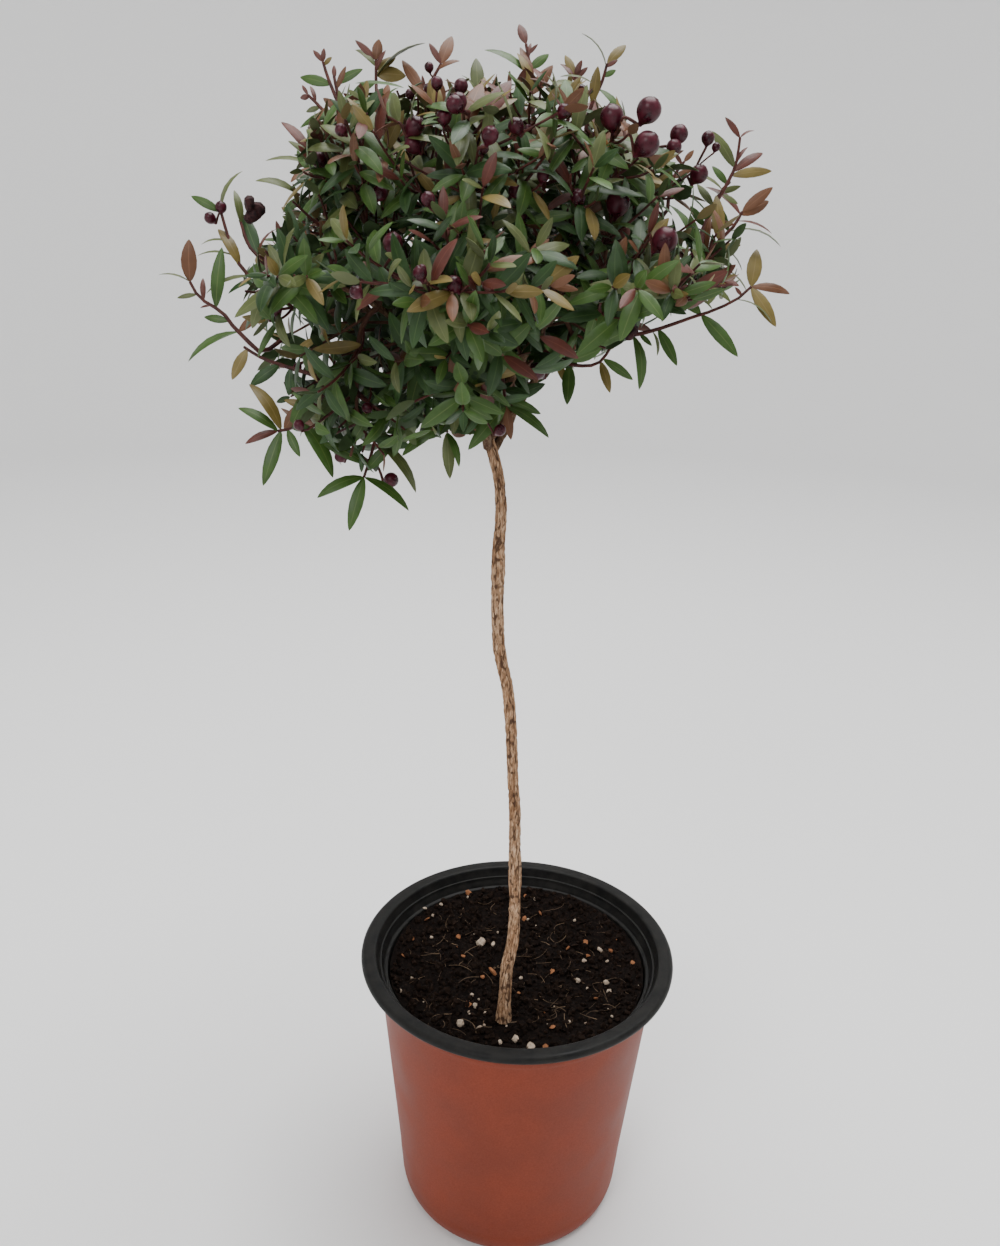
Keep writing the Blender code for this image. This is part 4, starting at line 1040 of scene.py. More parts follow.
spray = dict(joints=9, firstJoint=2, drawn=60, points=30, radius=0.9 * mm, tip=0.5 * mm, depthChance=0.3,
             narrowest=0.8, leanUp=0.01, arch=(18, 40), turnedArch=35)


# A point of the photo at the depth of the crown's centre, or nearer.
def depthPoint(x, y, nearer):
    eye, ray = sightOf(x, y)
    return eye + ray * ((crown["centre"] - eye) @ eyeAhead() - nearer) / (ray @ eyeAhead())


# Each spray's shoot starts at the nearest joint of the crown. A leaf's chord runs from root to
# tip, and its face turns from the eye by the angle whose cosine is its seen width over its own.
def growSprays(twigs):
    dice = random.Random(twig["fineSeed"] - 2)
    joints = np.concatenate([resample(row[0], spray["joints"])[spray["firstJoint"]:] for row in twigs])
    grown, leaves = [], []
    for nearer, line, drawn in sprays:
        points = np.array([depthPoint(x, y, nearer * mm) for x, y in line])
        joint = joints[int(np.argmin(np.linalg.norm(joints - points[0], axis=1)))]
        path = resample(smoothPath(np.concatenate([[joint], points]), spray["drawn"]), spray["points"])
        grown.append((path, spray["radius"], spray["tip"], sprayKind))
        for x0, y0, x1, y1, width, kind in drawn:
            root, tip = depthPoint(x0, y0, nearer * mm), depthPoint(x1, y1, nearer * mm)
            shift = dice.uniform(-spray["depthChance"], spray["depthChance"]) * np.linalg.norm(tip - root)
            tip = depthPoint(x1, y1, nearer * mm + shift)
            root = path[int(np.argmin(np.linalg.norm(path - root, axis=1)))]
            chord = unit(tip - root)
            seen = width / math.hypot(x1 - x0, y1 - y0)
            share = max(seen, leaf["width"] * spray["narrowest"])
            towards = unit(-eyeAhead() + chord * (eyeAhead() @ chord))
            over = np.cross(chord, towards)
            over = over if over @ (upright + towards * spray["leanUp"]) > 0 else -over
            face = towards * seen / share + over * math.sqrt(max(1 - (seen / share) ** 2, 0))
            arch = math.radians(dice.uniform(*spray["arch"]) + spray["turnedArch"] * (seen < share))
            ahead = chord * math.cos(arch / 2) + face * math.sin(arch / 2)
            size = np.linalg.norm(tip - root) * arch / (2 * math.sin(arch / 2))
            leaves.append((root, ahead, unit(face - ahead * (face @ ahead)), size, arch, 2, share, kind))
    return grown, leaves


# Nearest distance from each point to a set of straight legs.
def legDistance(points, starts, legs):
    offset = points[:, None] - starts[None]
    run = np.clip((offset * legs).sum(-1) / (legs**2).sum(-1), 0, 1)
    return np.linalg.norm(offset - legs * run[..., None], axis=-1)


# The planned pairs as single leaves, in columns: root, ahead, face, size, arch, age, share of
# width, and kind, which is below 0 until it is dealt.
def openPairs(pairs):
    dice = np.random.default_rng(leaf["seed"])
    place, way, turn, age = (np.array(column) for column in zip(*pairs))
    level = np.cross(way, upright)
    level = unit(np.where(np.linalg.norm(level, axis=1, keepdims=True) < 1e-3, [1.0, 0, 0], level))
    over = np.cross(level, way)
    step = np.minimum(age, len(leaf["sizes"]) - 1)
    count, grown = len(turn), (step > 0)[:, None]
    made = []
    for sign in (1, -1):
        angle = turn + np.radians(dice.normal(0, leaf["turnChance"], count))
        side = (level * np.cos(angle)[:, None] + over * np.sin(angle)[:, None]) * sign
        spread = np.radians(np.array(leaf["spreads"])[step] + dice.normal(0, leaf["spreadChance"], count))
        ahead = way * np.cos(spread)[:, None] + side * np.sin(spread)[:, None]
        ahead = unit(ahead - upright * leaf["droop"] * (step > 1)[:, None])
        face = unit(way - ahead * (way * ahead).sum(1, keepdims=True))
        light = unit(unit(place - crown["centre"]) * leaf["outwards"] + upright)
        light = light - ahead * (light * ahead).sum(1, keepdims=True)
        face = unit(face + light * leaf["light"] * grown)
        size = leaf["length"] * np.array(leaf["sizes"])[step] * dice.uniform(*leaf["lengthRange"], count)
        arch = np.radians(dice.uniform(*leaf["arch"], count)) * np.where(step > 0, 1, leaf["youngArch"])
        share = leaf["width"] * dice.uniform(*leaf["widthRange"], count) * np.array(leaf["broad"])[step]
        made.append([place + ahead * leaf["stalk"], ahead, face, size, arch, age, share, np.full(count, -1)])
    return made


# The drawn leaves and the planned ones in the same columns. A planned leaf is dropped where it
# would leave the crown, touch a limb or a berry, hide a large berry from the front or lie in
# another leaf.
def placeLeaves(pairs, drawn, limbs, berries):
    made = [[np.array(column) for column in zip(*drawn)], *openPairs(pairs)]
    root, ahead, face, size, arch, age, share, kind = (np.concatenate(column) for column in zip(*made))
    measured = kind >= 0
    keep = measured.copy()
    for shrink in leaf["shrinks"]:
        long = size * shrink
        tip = root + ahead * long[:, None] - face * (long * np.sin(arch) * leaf["tipDrop"])[:, None]
        offset = tip - crown["centre"]
        fits = np.linalg.norm(offset, axis=1) <= crownReach(unit(offset)) + leaf["outside"]
        fits &= insideOutline(pixelsOf(tip - unit(offset) * leaf["outside"]))
        size = np.where(~keep & fits, long, size)
        keep |= fits
    starts = np.concatenate([path[:-1] for name, path, radius in limbs])
    legs = np.concatenate([np.diff(path, axis=0) for name, path, radius in limbs])
    for reach in leaf["limbReaches"]:
        spot = root + ahead * (size * reach)[:, None]
        keep &= (legDistance(spot, starts, legs).min(1) > leaf["limbGap"]) | measured
    middle = root + ahead * (size * 0.5)[:, None]
    eye = eyeFrame()[0]
    for centre, width, large in berries:
        keep &= (np.linalg.norm(middle - centre, axis=1) > width / 2 + leaf["berryGap"]) | measured
        if large:
            before, aside = alongSight(middle, eye, unit(centre - eye))
            clear = aside > width * leaf["sightShare"] + leaf["sightGap"]
            keep &= clear | (before > np.linalg.norm(centre - eye)) | measured
    order = np.arange(len(root))
    for part in np.array_split(order, leaf["batches"]):
        near = np.linalg.norm(middle[part, None] - middle[None], axis=-1) < leaf["apart"]
        near &= (part[:, None] > order[None]) & keep[None]
        keep[part] &= ~near.any(1) | measured[part]
    return [column[keep] for column in (root, ahead, face, size, arch, age, share, kind)]


# One leaf's outline: half its width along its length, from 0 at the root to 0 at the tip.
def leafOutline(u):
    lean, fullness = leaf["outline"]
    return np.sin(math.pi * u**lean) ** fullness


# All the leaves of a kind as one mesh. Along the leaf the midrib is an arc that bends away from
# the face, across it the blade is folded up to both sides, and a keel below closes it. The ring
# of a row runs across the upper face and back by the keel.
def leafMesh(root, ahead, face, size, arch, width):
    along, across, under = (np.array(leaf[key]) for key in ("along", "across", "under"))
    count, rows, columns = len(root), len(along), len(across)
    u = np.concatenate([along, [0, 1]])
    bend = arch[:, None] * u
    forward, drop = (run / np.maximum(arch[:, None], 1e-6) for run in (np.sin(bend), 1 - np.cos(bend)))
    way = ahead[:, None] * forward[..., None] - face[:, None] * drop[..., None]
    spine = root[:, None] + way * size[:, None, None]
    normal = face[:, None] * np.cos(bend)[..., None] + ahead[:, None] * np.sin(bend)[..., None]
    side = np.cross(face, ahead)[:, None]
    half = (leafOutline(along) * width[:, None] * size[:, None])[..., None]
    fold = math.tan(math.radians(leaf["fold"]))
    lift = fold * np.abs(across) ** leaf["foldPower"] - leaf["flatten"] * np.abs(across) ** 4
    rise = half * lift - under * leaf["thickness"] * np.minimum(1, half / (1 * mm))
    point = spine[:, :rows, None] + side[:, :, None] * (half * across)[..., None]
    point = point + normal[:, :rows, None] * rise[..., None]
    points = np.concatenate([point.reshape(count, -1, 3), spine[:, rows:]], 1)
    grid = np.stack(np.meshgrid(along, leaf["labels"], indexing="ij"), -1).reshape(-1, 2)
    label = np.concatenate([grid, [[0, 0.5], [1, 0.5]]])
    faces, uv = shellFaces(rows, columns, falling=True), []
    for kind, first in zip(faces, (0, 1)):     # a triangle belongs to the keel by its last corners
        corner = label[kind]
        corner[(kind % columns == columns - 1)[:, first:].any(1), :, 1] = leaf["labels"][-1]
        uv.append(np.tile(corner.reshape(-1, 2), (count, 1)))
    return points, *(copied(kind, count, points.shape[1]) for kind in faces), np.concatenate(uv)


# A leaf's finish: base colour clouded a little, a paler midrib, a paler and greyer underside.
def finishLeaf(name, colour, rib, under):
    material, tree, shader, place = startFinish(name, colour, leaf["roughness"], leaf["specular"])
    cloud, grain = noiseOf(tree, place, *leaf["cloud"]), noiseOf(tree, place, *leaf["grain"])
    base = rampOf(tree, cloud, [(at, np.multiply(colour, shade)) for at, shade in leaf["shades"]])
    across = surfaceOf(tree)["Y"]
    upper = mixOf(tree, rampOf(tree, across, leaf["rib"]), base, rib)
    below = tree.nodes.new("ShaderNodeMath")
    below.operation = "GREATER_THAN"
    below.inputs[1].default_value = leaf["underFrom"]
    tree.links.new(across, below.inputs[0])
    tree.links.new(mixOf(tree, below.outputs["Value"], upper, under), shader.inputs["Base Color"])
    gloss = [(at, leaf["roughness"] + more) for at, more in leaf["gloss"]]
    rampOf(tree, cloud, gloss, shader.inputs["Roughness"])
    bumpOf(tree, shader, grain, *leaf["relief"])
    return material


leafKinds = (
    # name, colour, midrib, underside
    ("deepGreenLeaves", (0.018, 0.047, 0.01), (0.052, 0.095, 0.026), (0.045, 0.075, 0.03)),
    ("greenLeaves", (0.04, 0.086, 0.014), (0.095, 0.14, 0.036), (0.075, 0.105, 0.04)),
    ("mossGreenLeaves", (0.08, 0.098, 0.03), (0.13, 0.15, 0.055), (0.1, 0.115, 0.055)),
    ("oliveLeaves", (0.14, 0.104, 0.026), (0.21, 0.15, 0.052), (0.155, 0.12, 0.05)),
    ("bronzeLeaves", (0.12, 0.05, 0.022), (0.19, 0.085, 0.042), (0.145, 0.07, 0.042)),
    ("russetLeaves", (0.085, 0.024, 0.016), (0.15, 0.046, 0.032), (0.12, 0.048, 0.036)),
)

# How kinds are dealt: chances of a young colour by age, times a share that grows with height,
# then limits for the greens, which fall with depth and height: deeper greens inside the crown
# are painted shade, and paler moss greens high and outside are painted sheen.
dealing = dict(seed=77, warm=0.27, warmRise=0.27, warmLimits=(0.1, 0.5), chances=(1.7, 0.72, 0.25, 0.08),
               youngLimits=(0.4, 0.72), greenLimits=(0.95, 1.35), shadeByDepth=0.7, sheenByHeight=0.28)


# Deals a kind to each leaf: the youngest pairs are bronze, russet or olive, more of them high
# on the crown, and older leaves are green: a deeper green inside the crown as painted shade,
# and more moss green high and outside as painted sheen.
def dealKinds(root, age):
    dice = np.random.default_rng(dealing["seed"])
    offset = root - crown["centre"]
    height = offset[:, 2] / crown["above"]
    depth = np.linalg.norm(offset, axis=1) / crownReach(unit(offset))
    warm = np.clip(dealing["warm"] + dealing["warmRise"] * height, *dealing["warmLimits"])
    chance = np.array(dealing["chances"])[np.minimum(age, len(dealing["chances"]) - 1)] * warm
    roll, pick = dice.uniform(0, 1, len(root)), dice.uniform(0, 1, len(root))
    young = np.select([pick < limit for limit in dealing["youngLimits"]], [olive, bronze], russet)
    # Painted shade and sheen: the greens darken towards the crown's inside and pale towards its top.
    less = dealing["shadeByDepth"] * depth, dealing["sheenByHeight"] * height
    limits = [limit - less[0] - less[1] for limit in dealing["greenLimits"]]
    old = np.select([pick < limit for limit in limits], [deepGreen, green], moss)
    return np.where(roll < chance, young, old)


# The leaves of each kind as one piece. The first stands for all the masses.
def makeLeaves(leaves, masses):
    root, ahead, face, size, arch, age, share, kind = leaves
    kinds = np.where(kind < 0, dealKinds(root, age), kind)
    for number, (name, colour, rib, under) in enumerate(leafKinds):
        chosen = kinds == number
        parts = leafMesh(*(column[chosen] for column in (root, ahead, face, size, arch, share / 2)))
        stands = [row[0] for row in masses] if number == 0 else ()
        putPiece(name, *parts[:3], finishLeaf(name, colour, rib, under), "leaves", stands, parts[3], 60)
    print(f"  {len(root)} leaves")


# Tubes for the twigs, those of some kinds in one piece.
def makeTwigs(twigs):
    t = np.linspace(0, 1, twig["points"])
    for name, kinds, *finish in twig["pieces"]:
        chosen = [row for row in twigs if row[3] in kinds]
        paths = np.array([resample(row[0], twig["points"]) for row in chosen])
        radii = np.array([blend(row[1], row[2], t) for row in chosen])
        putPiece(name, *tubePoints(paths, radii, twig["sides"]), finishPlain(name, *finish), "bark")


# Bark: fissures are the creases of noise stretched along the limb, between them lie plates
# and flakes. depth is the fissures' own, ring is the scar low on the swelling. wide and thin are
# creases: the noise's scale, its sharpness and its share.
bark = dict(
    depth=0.42 * mm, around=64, step=0.42 * mm, points=60, seed=3, ringHeight=0.3115, ringWidth=0.7 * mm,
    seedWay=(0.0, 1.0, 0.2), wrap=2.4, warp=0.6, warpScale=(0.5, 0.5, 0.35),
    wide=((0.9, 0.9, 0.14), 4.5, 0.8), thin=((2.2, 2.2, 0.3), 3.2, 0.6), flakes=(1.5, 1.5, 0.6),
    swells=(0.35, 0.35, 0.07), deepest=1.3, flakeCrack=0.25, scarCrack=0.6, pushes=(0.35, 0.9, 0.8),
    fullDepthFrom=2.2 * mm, leader=(2.0, 0.95), boughAround=24, boughStep=0.9 * mm, boughPoints=16,
    boughSeed=20, boughSeat=2.4 * mm, boughShares=(1.15, 0.95),
    colour=(0.2, 0.12, 0.075), roughness=0.85, specular=0.15, streaks=(0.8, 4, 0.65, (1, 1, 5)),
    patches=(7, 3, 0.6, (1, 1, 2.5)),
    plates=((0.34, (0.15, 0.085, 0.048)), (0.5, (0.34, 0.22, 0.138)), (0.64, (0.58, 0.42, 0.29))),
    # The cracks ramp darkens the fissures towards a near-black colour: painted shade.
    tints=((0.35, (0.84, 0.7, 0.58)), (0.65, (1.15, 1.1, 1.04))), cracks=((0.2, 0), (0.6, 0.92)),
    fissureShadeColour=(0.06, 0.03, 0.018), relief=(0.2, 0.8), dimmed=0.3,
# The last share dims the boughs' bark: painted shade of the crown over them.
)


# A tube with bark along a path: rings of cos and sin round the path, each point pushed in or
# out. Returns points, quads, triangles and for each face corner (crack, share along).
def barkTube(path, radii, around, step, seed):
    count = int(lengthOf(path)[-1] / step) + 2
    axis = smoothPath(path, count)
    radius = np.interp(np.linspace(0, 1, count), np.linspace(0, 1, len(radii)), radii)[:, None]
    first, second = pathFrames(axis[None], bark["seedWay"])[1:]
    turn = np.arange(around)[:, None] * math.tau / around
    ring = first[0, :, None] * np.cos(turn) + second[0, :, None] * np.sin(turn)
    reach = np.linspace(0, lengthOf(axis)[-1] / mm, count)
    spot = turned(np.stack([np.full(count, bark["wrap"]), reach], -1), around)
    warp = [cloudNoise(spot * bark["warpScale"], seed + k) for k in range(3)]
    spot = spot + bark["warp"] * np.stack(warp, -1)
    crack = 0
    for k, key in enumerate(("wide", "thin")):
        scale, sharpness, share = bark[key]
        crack = crack + share * np.clip(1 - np.abs(cloudNoise(spot * scale, seed + 4 + k)) * sharpness, 0, 1)
    flakes = cloudNoise(spot * bark["flakes"], seed + 6)
    scar = np.exp(-(((axis[:, 2:] - bark["ringHeight"]) / bark["ringWidth"]) ** 2))
    crack = crack - bark["flakeCrack"] * flakes + bark["scarCrack"] * scar
    crack = np.clip(crack, 0, bark["deepest"]) / bark["deepest"]
    byFlake, byCrack, bySwell = bark["pushes"]
    push = byFlake * flakes - byCrack * crack + bySwell * cloudNoise(spot * bark["swells"], seed + 7)
    push = push * bark["depth"] * np.minimum(1, radius / bark["fullDepthFrom"])
    points = axis[:, None] + ring * (radius + push)[..., None]
    points = np.concatenate([points.reshape(-1, 3), axis[:1], axis[-1:]])
    quads, triangles = shellFaces(count, around)
    label = np.stack([crack, (reach / reach[-1])[:, None] + 0 * crack], -1).reshape(-1, 2)
    label = np.concatenate([label, [[0, 0], [0, 1]]])
    uv = [label[faces].reshape(-1, 2) for faces in (quads, triangles)]
    return points, quads, triangles, np.concatenate(uv)


# Grey-brown bark: dark in the cracks, which is painted shade in the fissures, pale on the plates,
# warmer in patches, all dimmed by a share. The boughs' share is small: painted shade of the crown
# over their bark.
def finishBark(name, share):
    material, tree, shader, place = startFinish(name, bark["colour"], bark["roughness"], bark["specular"])
    streaks = noiseOf(tree, place, *bark["streaks"])
    patches = noiseOf(tree, place, *bark["patches"])
    plates = rampOf(tree, streaks, bark["plates"])
    tint = rampOf(tree, patches, [(at, np.multiply(colour, share)) for at, colour in bark["tints"]])
    base = mixOf(tree, 1.0, plates, tint, "MULTIPLY")
    # Painted shade: the fissures darken towards a near-black colour by their depth.
    depth = rampOf(tree, surfaceOf(tree)["X"], bark["cracks"])
    tree.links.new(mixOf(tree, depth, base, bark["fissureShadeColour"]), shader.inputs["Base Color"])
    bumpOf(tree, shader, streaks, *bark["relief"])
    return material


# The stem and its leader as one tube, and each bough as one that starts inside the stem.
def makeLimbs(path, limbs):
    leader = limbs[0][1]
    whole = np.concatenate([path, leader[1:]])
    radii = np.concatenate([stemRadius(path[:, 2]), np.linspace(*bark["leader"], len(leader) - 1) * mm])
    share = lengthOf(whole) / lengthOf(whole)[-1]
    even = np.linspace(0, 1, bark["points"])
    parts = barkTube(resample(whole, bark["points"]), np.interp(even, share, radii), bark["around"],
                     bark["step"], bark["seed"])
    old = finishBark("fissuredBark", 1.0)
    putPiece("stemBark", *parts[:3], old, "bark", ["trunk", "bough_leader"], parts[3])
    # The boughs' bark is dimmed to a small share: painted shade of the crown over them.
    young = finishBark("shadedBoughBark", bark["dimmed"])
    for k, (side, line, radius) in enumerate(limbs[1:]):
        inward = line[0] - unit(line[1] - line[0]) * bark["boughSeat"]
        line = resample(np.concatenate([[inward], line]), bark["boughPoints"])
        rootShare, tipShare = bark["boughShares"]
        radii = np.linspace(radius * rootShare, bough["tipRadius"] * tipShare, bark["boughPoints"])
        parts = barkTube(line, radii, bark["boughAround"], bark["boughStep"], bark["boughSeed"] + k)
        putPiece(f"boughBark_{side}", *parts[:3], young, "bark", [f"bough_{side}"], parts[3])


# Berries: a ball drawn out to its stalk, with a small crown at the far end. The listed ones
# stand where the photo shows them, each carried by the nearest shoot: pixel and width in pixels.
# profile holds rows of (radius, height), for a radius of 1.
berry = dict(
    large=((649, 110, 26), (612, 117, 25), (647, 144, 26), (679, 134, 19), (674, 147, 16), (708, 138, 14),
           (716, 147, 9), (699, 174, 19), (618, 203, 25), (665, 240, 26), (625, 232, 11), (578, 197, 16),
           (543, 176, 13), (564, 111, 15), (516, 126, 17), (490, 135, 18), (484, 149, 10), (515, 191, 14),
           (461, 86, 15), (459, 101, 17), (444, 117, 16), (437, 83, 13), (415, 126, 20), (413, 145, 18),
           (429, 67, 10), (410, 94, 10), (380, 193, 16), (428, 199, 15), (393, 243, 21), (420, 273, 15),
           (454, 284, 17), (356, 292, 14), (276, 309, 13), (210, 218, 12), (221, 207, 12), (391, 480, 15),
           (340, 457, 11), (367, 408, 11), (500, 430, 12), (299, 425, 11), (537, 371, 17), (341, 130, 13)),
    small=70, smallSizes=(2.2, 2.6, 3.0, 3.8, 4.8), smallPlace=(0.5, 0.9), seed=12,
    buds=0.5, budsBelow=3.4 * mm,
    stalk=2.6 * mm, stalkRadius=0.46 * mm, stalkShares=(0.9, 1.1), stalkPoints=7, stalkFull=5 * mm,
    joints=9, firstJoint=3, touch=1.4 * mm, farther=0.12, asideWeight=1.4,
    hang=(0.6, 0.8, 0.15), smallHang=0.7, end=0.69, bow=0.2, columns=26, budColumns=10,
    profile=((0.17, -1.4), (0.2, -1.27), (0.27, -1.14), (0.42, -1.0), (0.62, -0.84), (0.8, -0.64),
             (0.92, -0.4), (0.99, -0.14), (1.0, 0.12), (0.95, 0.37), (0.83, 0.6), (0.65, 0.79),
             (0.44, 0.92), (0.3, 0.965), (0.25, 1.03), (0.19, 1.02), (0.15, 0.95)), poles=(-1.42, 0.93),
    specular=0.28, bloom=(3.4, 4, 0.65), stops=(0.3, 0.52, 0.78), gloss=((0.35, -0.06), (0.7, 0.12)),
    skin=((0.016, 0.002, 0.005), (0.05, 0.004, 0.011), (0.095, 0.011, 0.024), 0.3),
    budSkin=((0.09, 0.03, 0.028), (0.17, 0.06, 0.05), (0.25, 0.12, 0.09), 0.5),
)


# Width in metres of a ball so many pixels wide at a distance along a line of sight. Away from
# the middle of the picture a ball looks larger, by about the power 1.5 of the slant's cosine.
def sizeSeen(width, reach, ray):
    return width * reach * (ray @ eyeAhead()) ** 1.5 / camera["focus"]


# Where every berry hangs: centre, axis away from the stalk, width, the stalk's root, and
# whether it is one of the listed ones.
def placeBerries(twigs):
    dice = np.random.default_rng(berry["seed"])
    joints = np.concatenate([resample(row[0], berry["joints"])[berry["firstJoint"]:] for row in twigs
                             if row[3] not in (stalkKind, innerKind)])
    placed = []
    for x, y, width in berry["large"]:
        eye, ray = sightOf(x, y)
        reach, aside = alongSight(joints, eye, ray)
        size = sizeSeen(width, reach, ray)
        miss = np.abs(aside - size / 2 - berry["touch"])
        best = int(np.argmin(berry["asideWeight"] * miss + reach * berry["farther"]))
        centre = eye + ray * reach[best]
        outwards, upwards, towards = berry["hang"]
        axis = unit(unit(centre - joints[best]) * outwards + upright * upwards - ray * towards)
        placed.append((centre, axis, size[best], joints[best], True))
    shoots = [row[0] for row in twigs if row[3] in (sideKind, fineKind)]
    for k in dice.choice(len(shoots), berry["small"], replace=False):
        place, way = placeOn(shoots[k], lengthOf(shoots[k])[-1] * dice.uniform(*berry["smallPlace"]))
        axis = unit(way * berry["smallHang"] + sideWay(way, dice.uniform(0, math.tau)))
        size = dice.choice(berry["smallSizes"]) * mm
        centre = place + axis * (berry["stalk"] + size / 2)
        if insideRoom(centre, size / 2):
            placed.append((centre, axis, size, place, False))
    return placed


# Berries as one mesh: a pear-shaped profile turned about each berry's own axis, with a neck at
# the stalk and a low ring round the far pole.
def berryMesh(centres, axes, sizes, columns):
    ball = turned(berry["profile"], columns).reshape(-1, 3)
    ball = np.concatenate([ball, [[0, 0, pole] for pole in berry["poles"]]])
    side = unit(np.cross(axes, [0.31, 0.77, 0.55]))
    basis = np.stack([side, np.cross(axes, side), axes], 1)
    points = np.einsum("vk,nkc->nvc", ball, basis) * (sizes / 2)[:, None, None] + centres[:, None]
    faces = shellFaces(len(berry["profile"]), columns)
    return points, *(copied(kind, len(centres), len(ball)) for kind in faces)


# Skin with a faint bloom in patches: the bloom's colour over the ripe one.
def finishBerry(name, dark, ripe, bloomed, roughness):
    return finishCloud(name, ripe, roughness, berry["specular"], berry["bloom"],
                       tuple(zip(berry["stops"], (dark, ripe, bloomed))),
                       gloss=[(at, roughness + more) for at, more in berry["gloss"]])


# Berries, buds and their stalks. A stalk is a parabola that leaves its shoot by the berry's axis.
def makeBerries(placed):
    dice = np.random.default_rng(berry["seed"] + 1)
    centres, axes, sizes, roots = (np.array([row[k] for row in placed]) for k in range(4))
    young = (sizes < berry["budsBelow"]) & (dice.uniform(0, 1, len(sizes)) < berry["buds"])
    ripeSkin, budSkin = finishBerry("berrySkin", *berry["skin"]), finishBerry("budSkin", *berry["budSkin"])
    ripe = berryMesh(centres[~young], axes[~young], sizes[~young], berry["columns"])
    buds = berryMesh(centres[young], axes[young], sizes[young], berry["budColumns"])
    putPiece("berries", *ripe, ripeSkin, crease=60)
    putPiece("buds", *buds, budSkin, crease=60)
    count = berry["stalkPoints"]
    t = np.linspace(0, 1, count)[None, :, None]
    ends = centres - axes * (sizes * berry["end"])[:, None]
    bow = roots + axes * np.linalg.norm(ends - roots, axis=1)[:, None] * berry["bow"]
    paths = roots[:, None] * (1 - t) ** 2 + 2 * bow[:, None] * t * (1 - t) + ends[:, None] * t**2
    radii = berry["stalkRadius"] * np.minimum(1, sizes / berry["stalkFull"])[:, None]
    radii = radii * np.linspace(*berry["stalkShares"], count)
    redBark = bpy.data.materials["redTwigs"]
    putPiece("berryStalks", *tubePoints(paths, radii, twig["sides"]), redBark, "bark")
    print(f"  {len(sizes)} berries")


# Withered fruit and a dried flower: pixel and width in pixels, then the lumps of a fruit and
# the petals of the flower.
withered = dict(
    fruit=((253, 209, 20), (630, 329, 17)), flower=(606, 148, 16), firstJoint=2,
    shifts=((-0.14, 0, 0.22), (0.16, 0.08, -0.08), (-0.02, -0.08, -0.34)), size=0.95,
    shape=(0.8, 0.2, 31, 9, 6), petals=10, turn=2.4, rises=(0.9, 0.25), lean=0.2,
    petalLength=0.55, petalArch=0.9, petalWidth=0.26,
    finish=((0.005, 0.004, 0.005), (0.05, 0.018, 0.018), 0.7, 2.0, 0.4, 0.15),
    flowerFinish=((0.27, 0.11, 0.04), (0.5, 0.28, 0.12), 0.7, 1.5, 0.2),
)


# Dark lumps, and a ring of short curled petals, each on the nearest joint behind its pixel.
def makeWithered(twigs):
    joints = np.concatenate([resample(row[0], berry["joints"])[withered["firstJoint"]:] for row in twigs
                             if row[3] > stalkKind])
    found = []
    for x, y, width in (*withered["fruit"], withered["flower"]):
        eye, ray = sightOf(x, y)
        reach, aside = alongSight(joints, eye, ray)
        best = int(np.argmin(aside + reach * berry["farther"]))
        found.append((eye + ray * reach[best], sizeSeen(width, reach[best], ray)))
    places, sizes = (np.array(column) for column in zip(*found))
    lumps = (places[:-1, None] + np.array(withered["shifts"]) * sizes[:-1, None, None]).reshape(-1, 3)
    lumpSizes = np.repeat(sizes[:-1], len(withered["shifts"])) * withered["size"]
    putPiece("witheredFruit", *lumpPoints(lumps, lumpSizes, *withered["shape"]),
             finishPlain("witheredFruit", *withered["finish"]), crease=40)
    count = withered["petals"]
    turn = np.arange(count) * withered["turn"]
    rise = np.array(withered["rises"])[np.arange(count) % 2][:, None]
    ahead = np.stack([np.cos(turn), np.sin(turn) - withered["lean"], np.zeros(count)], -1)
    ahead = unit(ahead + upright * rise)
    face = unit(ahead * ahead[:, 2:] - upright)
    values = (sizes[-1] * withered["petalLength"], withered["petalArch"], withered["petalWidth"])
    petals = (np.full(count, value) for value in values)
    parts = leafMesh(np.repeat(places[-1:], count, 0), ahead, face, *petals)
    putPiece("driedFlower", *parts[:3], finishPlain("driedFlower", *withered["flowerFinish"]), crease=60)


stemPath = planStem()
limbs = planBoughs(stemPath)
masses = planMasses(limbs)
makeLimbs(stemPath, limbs)
print("stem and boughs done")
twigs, pairs = growCrown(masses, limbs)
sprayTwigs, drawnLeaves = growSprays(twigs)
twigs += sprayTwigs
makeTwigs(twigs)
placed = placeBerries(twigs)
balls = [(centre, size, large) for centre, axis, size, root, large in placed]
makeLeaves(placeLeaves(pairs, drawnLeaves, [("stem", stemPath, stem["radius"]), *limbs], balls), masses)
makeBerries(placed)
makeWithered(twigs)
print("foliage done")

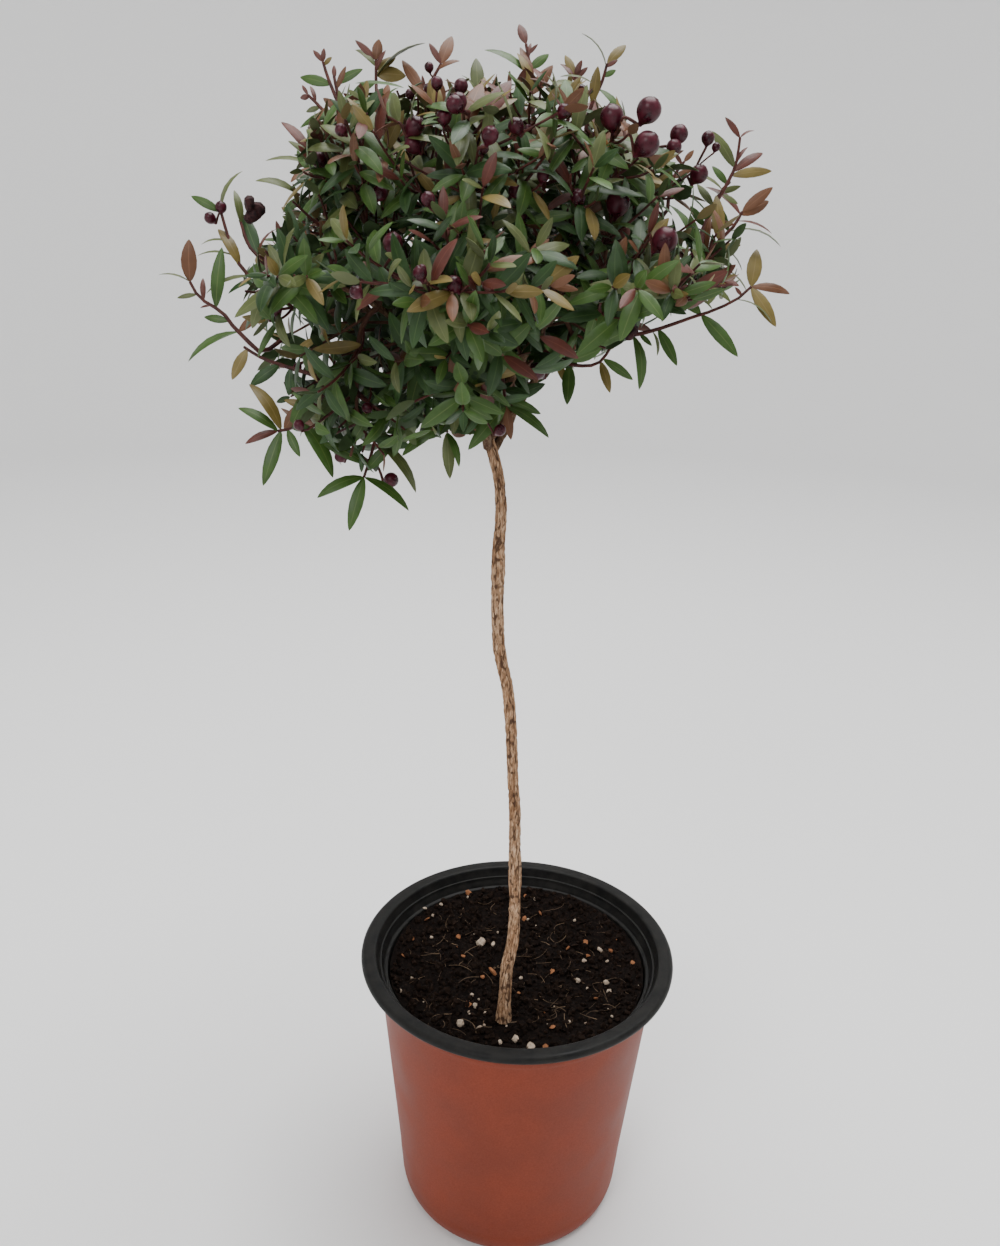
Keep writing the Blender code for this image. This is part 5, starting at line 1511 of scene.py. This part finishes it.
# Studio: a pale floor that curves up into a round wall, and large soft lights, each with its
# place, the point that it faces, its width and its power.
studio = dict(
    colour=(0.88, 0.88, 0.88), roughness=0.9, floor=((0.05, 0), (0.6, 0)), radius=1.7, bend=0.6, bendRows=20,
    rise=2.6, around=96, air=(1.0, 0.99, 0.97), airStrength=0.35,
    lamps=(("over", (0.15, 0.2, 1.8), (0, 0, 0.2), 1.5, 42),
           ("key", (-0.6, -1.3, 1.4), (0, 0, 0.3), 0.8, 10)),
)


# The studio's profile, a straight run, a quarter circle and a straight rise, turned about Z.
def makeStudio():
    radius, bend = studio["radius"], studio["bend"]
    turn = np.linspace(0, math.pi / 2, studio["bendRows"])
    curve = np.stack([radius + bend * np.sin(turn), bend * (1 - np.cos(turn))], -1)
    profile = np.concatenate([studio["floor"], curve, [[radius + bend, studio["rise"]]]])
    count = studio["around"]
    points = np.concatenate([turned(profile, count).reshape(-1, 3), [[0, 0, 0]]])
    faces = ringQuads(len(profile), count).tolist() + fan(len(points) - 1, 0, count).tolist()
    mesh = bpy.data.meshes.new("studio")
    mesh.from_pydata(points.tolist(), [], faces)
    mesh.flip_normals()
    mesh.polygons.foreach_set("use_smooth", np.ones(len(faces), bool))
    room = bpy.data.objects.new("studio", mesh)
    bpy.context.scene.collection.objects.link(room)
    material = bpy.data.materials.new("palePaper")
    material.use_nodes = True
    shader = material.node_tree.nodes["Principled BSDF"]
    shader.inputs["Base Color"].default_value = (*studio["colour"], 1)
    shader.inputs["Roughness"].default_value = studio["roughness"]
    mesh.materials.append(material)


# A round soft lamp that faces a point.
def softLight(name, place, target, size, power):
    lamp = bpy.data.lights.new(name, "AREA")
    lamp.shape = "DISK"
    lamp.size = size
    lamp.energy = power
    back = unit(np.array(place) - np.array(target))
    side = unit(np.cross(upright, back))
    stand(name, lamp, (side, np.cross(back, side), back), place)


makeStudio()
for lamp in studio["lamps"]:
    softLight(*lamp)
world = bpy.data.worlds.new("air")
bpy.context.scene.world = world
world.use_nodes = True
world.node_tree.nodes["Background"].inputs["Color"].default_value = (*studio["air"], 1)
world.node_tree.nodes["Background"].inputs["Strength"].default_value = studio["airStrength"]
print("studio done")
